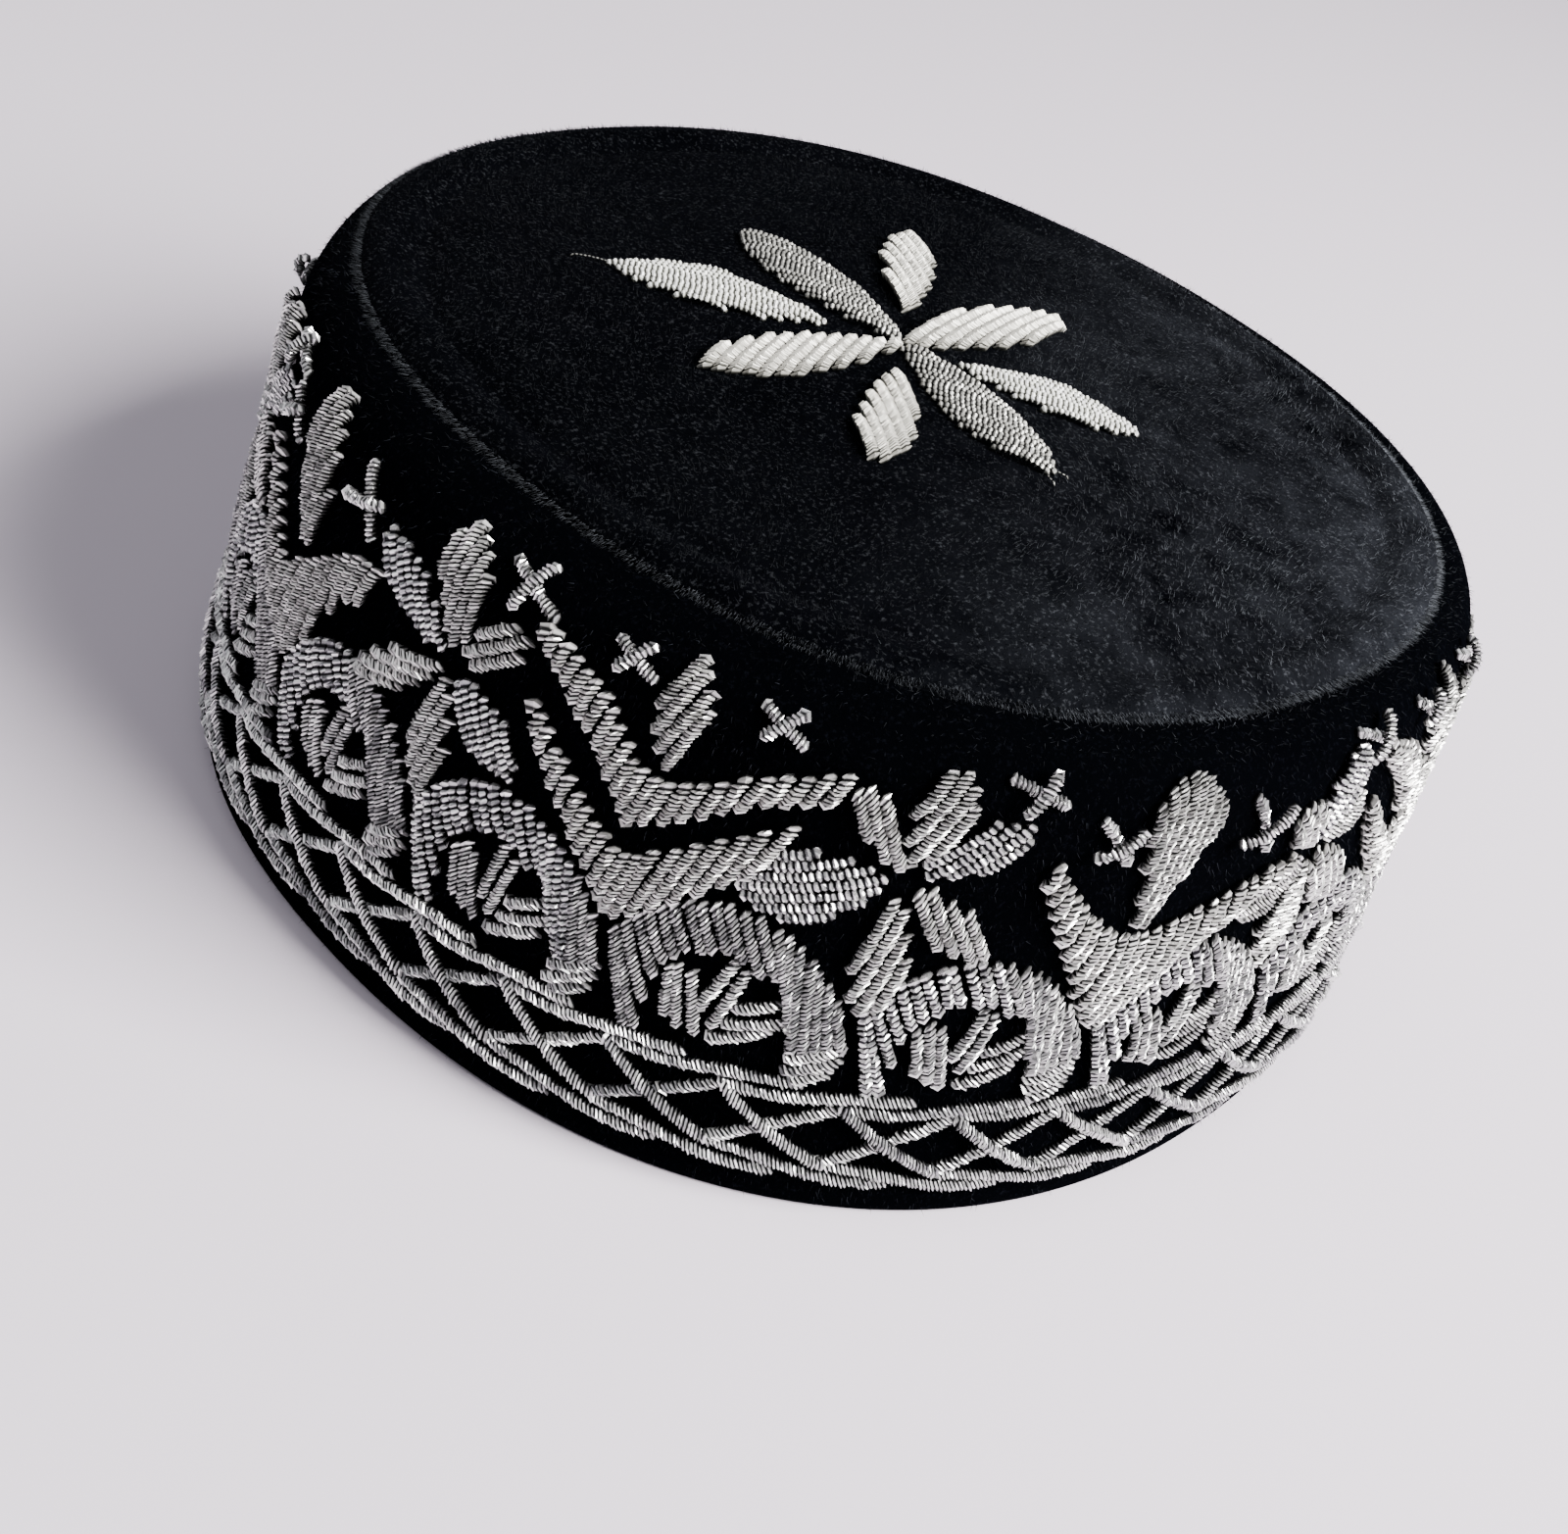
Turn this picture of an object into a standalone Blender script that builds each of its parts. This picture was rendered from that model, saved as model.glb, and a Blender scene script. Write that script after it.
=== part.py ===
"""Velvet pillbox cap with raised metal-thread embroidery, modelled in metres with +Z up.

The cap rests on its hem at z = 0, centred on the Z axis, with its longer way along X.
Places on the side are given by a share of the way round and a share of the cloth's run
from the hem up over the rim roll to the crown seam.
"""
import math

import bmesh
import bpy
import numpy as np

MM = 0.001

# Sizes of the cap
HALF_LENGTH = 98.0 * MM
HALF_WIDTH = 91.5 * MM
OUTLINE_POWER = 2.2
SEAM_HEIGHT = 75.2 * MM
WALL_TAPER = 5.2 * MM
RIM_INSET_LENGTH = 12.6 * MM
RIM_INSET_WIDTH = 4.5 * MM
RIM_RISE = 9.2 * MM
CROWN_SHIFT = 4.2 * MM
WALL = 3.0 * MM
CROWN_THICKNESS = 3.0 * MM
CROWN_RISE = 4.0 * MM

# Sizes of the embroidery
CLEARANCE = 0.3 * MM
RAISE = 1.2 * MM
REPEATS = 9
FIRST_CHEVRON = 0.15
FLOWER_HUB = 2.6 * MM
CROWN_FLOWER_REACH = 40.0 * MM
CROWN_FLOWER_X = -3.6 * MM
CROWN_FLOWER_Y = 5.2 * MM

# How finely round stretches are faceted
STEPS_ROUND = 72
STEPS_RIM = 5
STEPS_CROWN = 4
ROW_ON_WALL = 7.0 * MM
ROW_OVER_RIM = 3.3 * MM
ROW_ON_CROWN = 8.0 * MM

# Height of the straight part of the wall, and the cloth's run from the hem to the crown seam
WALL_HEIGHT = SEAM_HEIGHT - RIM_RISE
WALL_RUN = WALL_HEIGHT + RIM_RISE * math.pi / 2

# Rows of braid: bottom and top edge as shares of the run
BRAID_ROWS = {
    "lower_braid": (0.067, 0.122),
    "upper_braid": (0.232, 0.277),
}

# Chevron arms from the middle out: share of the repeat across, top edge and bottom edge
# as shares of the run
CHEVRONS = {
    "upper": ((0.00, 0.726, 0.616), (0.09, 0.768, 0.671), (0.20, 0.817, 0.744), (0.31, 0.866, 0.811)),
    "lower": ((0.00, 0.601, 0.451), (0.09, 0.652, 0.512), (0.18, 0.713, 0.598), (0.30, 0.756, 0.695)),
    "broad": ((0.00, 0.620, 0.415), (0.09, 0.646, 0.500), (0.18, 0.695, 0.585), (0.27, 0.738, 0.677)),
}

# Leaves that stand in the chevrons: foot and tip as shares of the run, half width as a
# share of the repeat
LEAVES = {
    "double": (0.744, 0.950, 0.052),
    "broad": (0.632, 0.945, 0.083),
}

# Width of a leaf or petal: share of its length, share of its half width
LEAF_WIDTHS = ((0.0, 0.20), (0.3, 0.65), (0.6, 1.0), (0.85, 0.80), (1.0, 0.25))
PETAL_WIDTHS = ((0.0, 0.25), (0.3, 0.75), (0.6, 1.0), (0.85, 0.65), (1.0, 0.15))

# Side flowers: heading in degrees, reach and half width of each petal as shares of the repeat
FLOWER_HEIGHT = 0.694
FLOWERS = {
    "tall": ((100, 0.290, 0.064), (45, 0.220, 0.040), (-32, 0.248, 0.055),
             (-92, 0.305, 0.046), (-147, 0.300, 0.036), (154, 0.300, 0.052)),
    "aslant": ((80, 0.266, 0.051), (36, 0.262, 0.040), (-36, 0.250, 0.036),
               (-87, 0.325, 0.045), (-163, 0.280, 0.058), (129, 0.224, 0.028)),
    "wide": ((74, 0.262, 0.062), (30, 0.180, 0.042), (-43, 0.262, 0.060),
             (-96, 0.288, 0.060), (-150, 0.225, 0.048), (128, 0.160, 0.046)),
}
FLOWER_ORDER = ("tall", "aslant", "wide", "aslant")

# Arches: half width as a share of the repeat, foot and top of the middle line as shares
# of the run, and the band's width as a share of the repeat at shares of the way along
ARCH_HALF_WIDTH = 0.155
ARCH_FOOT = 0.288
ARCH_TOP = 0.493
ARCH_BAND = ((0.0, 0.115), (0.2, 0.125), (0.5, 0.105), (0.8, 0.098), (1.0, 0.080))

# Crown flower: heading in degrees, start, reach and half width as shares of its reach
CROWN_STAR = ((87, 0.99, 0.160), (0, 0.99, 0.150), (-95, 0.86, 0.155), (170, 0.92, 0.130))
CROWN_PETALS = {
    "crown_petal_1": (130, 0.31, 1.16, 0.150),
    "crown_petal_2": (43, 0.31, 1.22, 0.085),
    "crown_petal_3": (-53, 0.24, 0.97, 0.105),
    "crown_petal_4": (-141, 0.26, 0.90, 0.095),
}

# Finishes: base colour, metallic, roughness
FINISHES = {
    "band velvet": ((0.006, 0.007, 0.012), 0.0, 0.95),
    "crown velvet": ((0.008, 0.010, 0.017), 0.0, 0.95),
    "braid thread": ((0.72, 0.70, 0.73), 0.85, 0.35),
    "chevron thread": ((0.70, 0.69, 0.70), 0.80, 0.40),
    "leaf thread": ((0.66, 0.65, 0.67), 0.80, 0.40),
    "arch thread": ((0.74, 0.72, 0.74), 0.85, 0.35),
    "flower thread": ((0.68, 0.67, 0.70), 0.80, 0.38),
    "crown flower thread": ((0.76, 0.75, 0.74), 0.75, 0.40),
    "crown petal thread": ((0.82, 0.82, 0.78), 0.80, 0.32),
}


def clear_scene():
    """Remove the scene's objects, so the script can be run again."""
    for item in list(bpy.data.objects):
        bpy.data.objects.remove(item, do_unlink=True)


def make_material(name):
    """A Principled material from the table of finishes."""
    colour, metallic, roughness = FINISHES[name]
    material = bpy.data.materials.new(name)
    material.use_nodes = True
    shader = material.node_tree.nodes["Principled BSDF"]
    shader.inputs["Base Color"].default_value = (*colour, 1.0)
    shader.inputs["Metallic"].default_value = metallic
    shader.inputs["Roughness"].default_value = roughness
    return material


def oval(angle, half_length, half_width):
    """Point of the cap's squared oval with the given half length and half width."""
    power = 2.0 / OUTLINE_POWER
    cosine = math.cos(angle)
    sine = math.sin(angle)
    x = half_length * math.copysign(abs(cosine) ** power, cosine)
    y = half_width * math.copysign(abs(sine) ** power, sine)
    return x, y


def even_angles():
    """Angles of the hem outline with the length round it, for even shares of the way."""
    angles = np.linspace(0.0, 2.0 * math.pi, 1441)
    points = np.array([oval(angle, HALF_LENGTH, HALF_WIDTH) for angle in angles])
    steps = np.hypot(*np.diff(points, axis=0).T)
    return angles, np.concatenate(([0.0], np.cumsum(steps)))


ANGLES, LENGTHS = even_angles()
GIRTH = LENGTHS[-1]
PITCH = GIRTH / REPEATS


def angle_at(share):
    """Angle of the outline at a share of the way round."""
    return float(np.interp((share % 1.0) * GIRTH, LENGTHS, ANGLES))


def rim_turn(run):
    """How far the cloth has turned over the rim at a run from the hem, from 0 to a right angle."""
    return max(0.0, run - WALL_HEIGHT) / RIM_RISE


def wall_oval(run):
    """Half length, half width, shift along Y and height of the outer cloth at a run from the hem."""
    taper = WALL_TAPER * min(run, WALL_HEIGHT) / WALL_HEIGHT
    turn = rim_turn(run)
    over = 1.0 - math.cos(turn)
    half_length = HALF_LENGTH - taper - RIM_INSET_LENGTH * over
    half_width = HALF_WIDTH - taper - RIM_INSET_WIDTH * over
    return half_length, half_width, CROWN_SHIFT * over, min(run, WALL_HEIGHT) + RIM_RISE * math.sin(turn)


def wall_surface(share, run):
    """Point of the outer cloth at a share of the way round and a run from the hem."""
    half_length, half_width, shift, height = wall_oval(run)
    x, y = oval(angle_at(share), half_length, half_width)
    return np.array((x, y + shift, height))


def on_wall(share, run):
    """Point one clearance outside the outer cloth."""
    step = 0.4 * MM
    sideways = wall_surface(share + step / GIRTH, run) - wall_surface(share - step / GIRTH, run)
    upward = wall_surface(share, run + step) - wall_surface(share, run - step)
    normal = np.cross(sideways, upward)
    normal /= np.linalg.norm(normal)
    return wall_surface(share, run) + normal * CLEARANCE


def crown_edge():
    """Half length and half width of the crown panel, one clearance inside the rim's seam."""
    half_length, half_width, _, _ = wall_oval(WALL_RUN)
    return half_length - CLEARANCE, half_width - CLEARANCE


def crown_height(x, y):
    """Height of the crown's top over a point, highest in the middle."""
    half_length, half_width = crown_edge()
    across = abs(y - CROWN_SHIFT)
    reach = (abs(x) / half_length) ** OUTLINE_POWER + (across / half_width) ** OUTLINE_POWER
    return SEAM_HEIGHT + CROWN_RISE * (1.0 - reach ** (2.0 / OUTLINE_POWER))


def on_crown(x, y):
    """Point one clearance above the crown."""
    return np.array((x, y, crown_height(x, y) + CLEARANCE))


def add_object(name, mesh_data, finish, collection):
    """Turn a bmesh into a named object with its finish, facing outward."""
    bmesh.ops.recalc_face_normals(mesh_data, faces=mesh_data.faces)
    mesh = bpy.data.meshes.new(name)
    mesh_data.to_mesh(mesh)
    mesh_data.free()
    item = bpy.data.objects.new(name, mesh)
    item.data.materials.append(finish)
    collection.objects.link(item)
    return item


def thicken(item, thickness):
    """Give a sheet its thickness on the side that its faces look to."""
    solid = item.modifiers.new("raise", "SOLIDIFY")
    solid.thickness = thickness
    solid.offset = 1.0


def face_outward(mesh_data, outward):
    """Turn a sheet's faces so that they look away from the cloth."""
    mesh_data.normal_update()
    total = sum(face.normal.dot(outward(face.calc_center_median())) for face in mesh_data.faces)
    if total < 0:
        bmesh.ops.reverse_faces(mesh_data, faces=mesh_data.faces)


def from_axis(point):
    """Direction away from the cap's axis."""
    away = point.copy()
    away.z = 0.0
    return away


def upward(point):
    """Direction up from the crown, the same everywhere."""
    up = point.copy()
    up.x, up.y, up.z = 0.0, 0.0, 1.0
    return up


def add_pad(name, mesh_data, outward, finish, collection):
    """Turn a sheet that lies one clearance off the cloth into a raised pad."""
    face_outward(mesh_data, outward)
    mesh = bpy.data.meshes.new(name)
    mesh_data.to_mesh(mesh)
    mesh_data.free()
    item = bpy.data.objects.new(name, mesh)
    item.data.materials.append(finish)
    collection.objects.link(item)
    thicken(item, RAISE)
    return item


def turned(profile, place, closed):
    """Spin a profile of (distance, height) points round Z and move each point by a place function."""
    mesh_data = bmesh.new()
    corners = [mesh_data.verts.new((distance, 0.0, height)) for distance, height in profile]
    edges = [mesh_data.edges.new(pair) for pair in zip(corners, corners[1:])]
    if closed:
        edges.append(mesh_data.edges.new((corners[-1], corners[0])))
    bmesh.ops.spin(mesh_data, geom=corners + edges, axis=(0, 0, 1), cent=(0, 0, 0),
                   angle=2.0 * math.pi, steps=STEPS_ROUND, use_merge=True)
    bmesh.ops.remove_doubles(mesh_data, verts=mesh_data.verts, dist=0.001 * MM)
    for corner in mesh_data.verts:
        share = math.atan2(corner.co.y, corner.co.x) / (2.0 * math.pi)
        distance = math.hypot(corner.co.x, corner.co.y)
        corner.co = place(share, distance, corner.co.z)
    return mesh_data


def make_side_band(finish, collection):
    """The side: one wall that tapers in, rolls over at the rim and ends at the crown seam."""
    runs = [0.0, WALL_HEIGHT / 2.0, WALL_HEIGHT]
    runs += [WALL_HEIGHT + (WALL_RUN - WALL_HEIGHT) * step / STEPS_RIM for step in range(1, STEPS_RIM + 1)]
    inner_side = HALF_LENGTH / 2.0

    # The section is spun with runs in place of heights, and its inner side is told by its distance
    profile = [(HALF_LENGTH, run) for run in runs] + [(inner_side, run) for run in reversed(runs)]

    def place(share, distance, run):
        half_length, half_width, shift, height = wall_oval(run)
        if distance < (HALF_LENGTH + inner_side) / 2.0:
            inward = WALL * math.cos(rim_turn(run))
            half_length -= inward
            half_width -= inward
            height -= WALL * math.sin(rim_turn(run))
        x, y = oval(angle_at(share), half_length, half_width)
        return x, y + shift, height

    add_object("side_band", turned(profile, place, True), finish, collection)


def make_crown_panel(finish, collection):
    """The crown: a slightly domed oval panel that sits inside the rim roll."""
    half_length, half_width = crown_edge()
    rings = [step / STEPS_CROWN for step in range(STEPS_CROWN + 1)]
    top = [(half_length * ring, SEAM_HEIGHT + CROWN_RISE * (1.0 - ring ** 2)) for ring in rings]
    bottom = [(distance, height - CROWN_THICKNESS) for distance, height in top]
    profile = top + bottom[::-1]

    def place(share, distance, height):
        ring = distance / half_length
        x, y = oval(angle_at(share), half_length * ring, half_width * ring)
        return x, y + CROWN_SHIFT, height

    add_object("crown_panel", turned(profile, place, False), finish, collection)


def make_braid(name, finish, collection):
    """One row of braid round the side."""
    low, high = BRAID_ROWS[name]
    mesh_data = bmesh.new()
    bmesh.ops.create_cone(mesh_data, cap_ends=False, segments=STEPS_ROUND, radius1=1.0, radius2=1.0, depth=1.0)
    for corner in mesh_data.verts:
        share = math.atan2(corner.co.y, corner.co.x) / (2.0 * math.pi)
        run = (high if corner.co.z > 0 else low) * WALL_RUN
        corner.co = on_wall(share, run)
    add_pad(name, mesh_data, from_axis, finish, collection)


def strip(columns, rows, chart, outward, place):
    """A sheet of columns by rows quads, charted from (0..1, 0..1) and laid on the cloth."""
    mesh_data = bmesh.new()
    bmesh.ops.create_grid(mesh_data, x_segments=columns, y_segments=rows, size=0.5)
    for corner in mesh_data.verts:
        corner.co = place(*chart(corner.co.x + 0.5, corner.co.y + 0.5))
    return mesh_data


def make_chevron(name, kind, middle, finish, collection):
    """A chevron: two arms that rise from its apex, mirrored about the middle."""
    across, tops, bottoms = np.array(CHEVRONS[kind]).T

    def chart(along, up):
        side = 2.0 * along - 1.0
        reach = abs(side) * across[-1]
        low = np.interp(reach, across, bottoms)
        high = np.interp(reach, across, tops)
        sideways = math.copysign(reach, side) * PITCH
        return middle + sideways / GIRTH, (low + (high - low) * up) * WALL_RUN

    add_pad(name, strip(8, 1, chart, from_axis, on_wall), from_axis, finish, collection)


def make_leaf(name, kind, middle, finish, collection):
    """An upright leaf that stands in a chevron and bends over the rim roll."""
    foot, tip, half_width = LEAVES[kind]
    along_shares, widths = np.array(LEAF_WIDTHS).T

    def chart(across, along):
        width = np.interp(along, along_shares, widths) * half_width * PITCH
        run = (foot + (tip - foot) * along) * WALL_RUN
        return middle + (2.0 * across - 1.0) * width / GIRTH, run

    rows = math.ceil((tip - foot) * WALL_RUN / ROW_OVER_RIM)
    add_pad(name, strip(1, rows, chart, from_axis, on_wall), from_axis, finish, collection)


def make_arch(name, middle, finish, collection):
    """An arch that stands on the upper braid."""
    along_shares, widths = np.array(ARCH_BAND).T

    def chart(along, across):
        turn = math.pi * (1.0 - along)
        width = np.interp(along, along_shares, widths) * PITCH * (across - 0.5)
        rise = (ARCH_TOP - ARCH_FOOT) * WALL_RUN
        sideways = (ARCH_HALF_WIDTH * PITCH + width) * math.cos(turn)
        run = ARCH_FOOT * WALL_RUN + (rise + width) * math.sin(turn)
        return middle + sideways / GIRTH, run

    add_pad(name, strip(10, 1, chart, from_axis, on_wall), from_axis, finish, collection)


def petalled(petals, hub, row_length, place):
    """A sheet of petals that meet in a hub: the hub's edges are drawn out along each petal.

    petals holds (heading in degrees, reach, half width), ordered round the hub, in metres.
    """
    along_shares, widths = np.array(PETAL_WIDTHS).T
    ordered = sorted(petals)
    mesh_data = bmesh.new()
    bmesh.ops.create_circle(mesh_data, cap_ends=True, segments=2 * len(ordered), radius=hub)
    mesh_data.verts.ensure_lookup_table()
    corners = sorted(mesh_data.verts, key=lambda corner: math.atan2(corner.co.y, corner.co.x) % (2 * math.pi))
    turn = math.pi / len(ordered)
    for number, (heading, reach, half_width) in enumerate(ordered):
        direction = math.radians(heading)
        ahead = np.array((math.cos(direction), math.sin(direction)))
        aside = np.array((-ahead[1], ahead[0]))
        root = (corners[2 * number], corners[2 * number + 1])
        for corner, side in zip(root, (-1.0, 1.0)):
            half_root = min(half_width * 0.45, hub * math.sin(turn / 2))
            corner.co.xy = ahead * hub + aside * side * half_root
        rows = math.ceil((reach - hub) / row_length(heading))
        for row in range(1, rows + 1):
            along = row / rows
            edge = mesh_data.edges.get(root)
            grown = bmesh.ops.extrude_edge_only(mesh_data, edges=[edge])["geom"]
            fresh = [item for item in grown if isinstance(item, bmesh.types.BMVert)]
            fresh.sort(key=lambda corner: (corner.co - root[0].co).length)
            distance = hub + (reach - hub) * along
            width = np.interp(0.2 + 0.8 * along, along_shares, widths) * half_width
            for corner, side in zip(fresh, (-1.0, 1.0)):
                corner.co.xy = ahead * distance + aside * side * width
            root = tuple(fresh)
    for corner in mesh_data.verts:
        corner.co = place(corner.co.x, corner.co.y)
    return mesh_data


def make_flower(name, kind, middle, finish, collection):
    """A side flower of six petals, its upper ones bent over the rim roll."""
    petals = [(heading, reach * PITCH, width * PITCH) for heading, reach, width in FLOWERS[kind]]

    def row_length(heading):
        return ROW_OVER_RIM if 10 < heading < 170 else ROW_ON_WALL

    def place(sideways, upward_run):
        return on_wall(middle + sideways / GIRTH, FLOWER_HEIGHT * WALL_RUN + upward_run)

    sheet = petalled(petals, FLOWER_HUB, row_length, place)
    add_pad(name, sheet, from_axis, finish, collection)


def on_crown_flower(sideways, forward):
    """Point one clearance above the crown, measured from the crown flower's middle."""
    return on_crown(CROWN_FLOWER_X + sideways, CROWN_FLOWER_Y + forward)


def make_crown_star(finish, collection):
    """The four long petals of the crown flower, which meet in its middle."""
    reach = CROWN_FLOWER_REACH
    petals = [(heading, far * reach, width * reach) for heading, far, width in CROWN_STAR]
    sheet = petalled(petals, FLOWER_HUB, lambda heading: ROW_ON_CROWN, on_crown_flower)
    add_pad("crown_star", sheet, upward, finish, collection)


def make_crown_petal(name, finish, collection):
    """A petal of the crown flower that stands free between two of the long ones."""
    heading, start, far, half_width = CROWN_PETALS[name]
    along_shares, widths = np.array(PETAL_WIDTHS).T
    direction = math.radians(heading)

    def chart(along, across):
        distance = (start + (far - start) * along) * CROWN_FLOWER_REACH
        side = np.interp(along, along_shares, widths) * half_width * CROWN_FLOWER_REACH
        side *= 2.0 * across - 1.0
        x = math.cos(direction) * distance - math.sin(direction) * side
        y = math.sin(direction) * distance + math.cos(direction) * side
        return x, y

    add_pad(name, strip(5, 1, chart, upward, on_crown_flower), upward, finish, collection)


def build():
    """Model the cap: cloth first, then the embroidery from the hem up to the crown."""
    clear_scene()
    collection = bpy.data.collections.new("embroidered velvet cap")
    bpy.context.scene.collection.children.link(collection)
    finishes = {name: make_material(name) for name in FINISHES}

    make_side_band(finishes["band velvet"], collection)
    make_crown_panel(finishes["crown velvet"], collection)
    for name in BRAID_ROWS:
        make_braid(name, finishes["braid thread"], collection)

    for unit in range(REPEATS):
        middle = (unit + FIRST_CHEVRON) / REPEATS
        quarter = 0.25 / REPEATS
        number = unit + 1
        if unit % 2:
            make_chevron(f"chevron_{number}_upper", "upper", middle, finishes["chevron thread"], collection)
            make_chevron(f"chevron_{number}_lower", "lower", middle, finishes["chevron thread"], collection)
            make_leaf(f"leaf_{number}", "double", middle, finishes["leaf thread"], collection)
        else:
            make_chevron(f"chevron_{number}_broad", "broad", middle, finishes["chevron thread"], collection)
            make_leaf(f"leaf_{number}", "broad", middle, finishes["leaf thread"], collection)
        make_arch(f"arch_{2 * number - 1}", middle + quarter, finishes["arch thread"], collection)
        make_arch(f"arch_{2 * number}", middle + 3 * quarter, finishes["arch thread"], collection)
        kind = FLOWER_ORDER[unit % len(FLOWER_ORDER)]
        make_flower(f"flower_{number}", kind, middle + 2 * quarter, finishes["flower thread"], collection)

    make_crown_star(finishes["crown flower thread"], collection)
    for name in CROWN_PETALS:
        make_crown_petal(name, finishes["crown petal thread"], collection)


build()
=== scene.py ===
import math

import bmesh
import bpy
import numpy as np
from mathutils import Matrix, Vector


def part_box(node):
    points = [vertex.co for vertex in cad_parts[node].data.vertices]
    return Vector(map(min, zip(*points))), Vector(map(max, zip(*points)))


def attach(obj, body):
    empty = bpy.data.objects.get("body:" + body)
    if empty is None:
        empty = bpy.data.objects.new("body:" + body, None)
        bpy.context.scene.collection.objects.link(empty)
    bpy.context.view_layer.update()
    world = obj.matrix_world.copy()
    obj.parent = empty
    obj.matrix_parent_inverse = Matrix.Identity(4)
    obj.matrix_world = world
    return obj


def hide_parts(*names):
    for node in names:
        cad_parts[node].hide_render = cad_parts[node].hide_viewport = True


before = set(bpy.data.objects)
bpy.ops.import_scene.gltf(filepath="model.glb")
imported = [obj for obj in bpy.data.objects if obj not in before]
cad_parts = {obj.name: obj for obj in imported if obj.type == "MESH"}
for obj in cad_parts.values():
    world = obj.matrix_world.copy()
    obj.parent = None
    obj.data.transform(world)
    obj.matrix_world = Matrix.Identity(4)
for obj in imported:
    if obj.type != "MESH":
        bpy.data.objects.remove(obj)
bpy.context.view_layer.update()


# ----------------------------------------
# The side of the cap: one stiffened wall of blue-black velvet, cut as a strip and closed
# into an oval. It leans in a little, rolls over at the rim, and is sewn to the crown there.
# Its raw edge is turned round the hem to the inside.

MM = 0.001
CHART = 0.98 * MM              # one square of the embroiderer's chart

BAND_LOW, BAND_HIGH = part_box("side_band")
HALF_LENGTH = (BAND_HIGH.x - BAND_LOW.x) / 2
HALF_WIDTH = (BAND_HIGH.y - BAND_LOW.y) / 2
CENTRE_X = (BAND_HIGH.x + BAND_LOW.x) / 2
CENTRE_Y = (BAND_HIGH.y + BAND_LOW.y) / 2
SEAM_HEIGHT = BAND_HIGH.z

OUTLINE_POWER = 2.2
WALL_TAPER = 5.2 * MM
RIM_INSET_LENGTH = 12.6 * MM
RIM_INSET_WIDTH = 4.5 * MM
RIM_RISE = 9.2 * MM
CROWN_SHIFT = 4.2 * MM
WALL = 3.0 * MM
WALL_HEIGHT = SEAM_HEIGHT - RIM_RISE
WALL_RUN = WALL_HEIGHT + RIM_RISE * math.pi / 2

# The blocked shape isn't quite even: it sways three times round, and the top leans a little
SWAY_COSINE = 0.9 * MM
SWAY_SINE = 0.45 * MM
TOP_LEAN = 0.012
SEAM_TUCK = 0.5 * MM
SEAM_TUCK_RUN = 3.2 * MM
HEM_ROUND = 1.5 * MM
STEPS_ROUND = 216


def oval(angle, half_length, half_width):
    """Points of the cap's squared oval."""
    power = 2.0 / OUTLINE_POWER
    cosine, sine = np.cos(angle), np.sin(angle)
    return (half_length * np.sign(cosine) * np.abs(cosine) ** power,
            half_width * np.sign(sine) * np.abs(sine) ** power)


ANGLES = np.linspace(0.0, 2.0 * math.pi, 1441)
LENGTHS = np.concatenate(([0.0], np.cumsum(np.hypot(*np.diff(oval(ANGLES, HALF_LENGTH, HALF_WIDTH))))))
GIRTH = LENGTHS[-1]


def band_surface(share, run):
    """Points of the outer cloth at shares of the way round and runs from the hem."""
    angle = np.interp((share % 1.0) * GIRTH, LENGTHS, ANGLES)
    straight = np.minimum(run, WALL_HEIGHT)
    turn = np.maximum(run - WALL_HEIGHT, 0.0) / RIM_RISE
    over = 1.0 - np.cos(turn)
    taper = WALL_TAPER * straight / WALL_HEIGHT
    sway = SWAY_COSINE * np.cos(3 * angle) + SWAY_SINE * np.sin(3 * angle)
    x, y = oval(angle, HALF_LENGTH - taper - RIM_INSET_LENGTH * over + sway,
                HALF_WIDTH - taper - RIM_INSET_WIDTH * over + sway)
    height = straight + RIM_RISE * np.sin(turn)
    lean = -TOP_LEAN * x * (height / SEAM_HEIGHT) ** 2
    return np.stack((x + CENTRE_X, y + CENTRE_Y + CROWN_SHIFT * over, height + lean), axis=-1)


def normalised(vectors):
    """Vectors cut to a length of one."""
    return vectors / np.linalg.norm(vectors, axis=-1, keepdims=True)


def on_band(share, run, lift):
    """Points at a lift off the outer cloth, and the cloth's outward directions there."""
    step = 0.3 * MM
    around = band_surface(share + step / GIRTH, run) - band_surface(share - step / GIRTH, run)
    upward = band_surface(share, run + step) - band_surface(share, run - step)
    normal = normalised(np.cross(around, upward))
    return band_surface(share, run) + normal * np.asarray(lift)[..., None], normal


def spun(profile, closed):
    """A section of (distance, height) points spun once round Z."""
    shape = bmesh.new()
    corners = [shape.verts.new((distance, 0.0, height)) for distance, height in profile]
    edges = [shape.edges.new(pair) for pair in zip(corners, corners[1:])]
    if closed:
        edges.append(shape.edges.new((corners[-1], corners[0])))
    bmesh.ops.spin(shape, geom=corners + edges, axis=(0, 0, 1), cent=(0, 0, 0),
                   angle=2.0 * math.pi, steps=STEPS_ROUND, use_merge=True)
    bmesh.ops.remove_doubles(shape, verts=shape.verts, dist=0.001 * MM)
    return shape


def mesh_of(name, shape):
    """The mesh of a finished shape."""
    mesh = bpy.data.meshes.new(name)
    shape.to_mesh(mesh)
    shape.free()
    return mesh


def add_object(name, data):
    """A new object in the scene."""
    item = bpy.data.objects.new(name, data)
    bpy.context.scene.collection.objects.link(item)
    return item


def set_corners(mesh, points, **layers):
    """Move a mesh's corners to their places, and store named values on them."""
    mesh.vertices.foreach_set("co", np.asarray(points, np.float32).ravel())
    for label, values in layers.items():
        layer = mesh.attributes.new(label, "FLOAT", "POINT")
        layer.data.foreach_set("value", np.asarray(values, np.float32).ravel())
    mesh.update()


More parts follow.
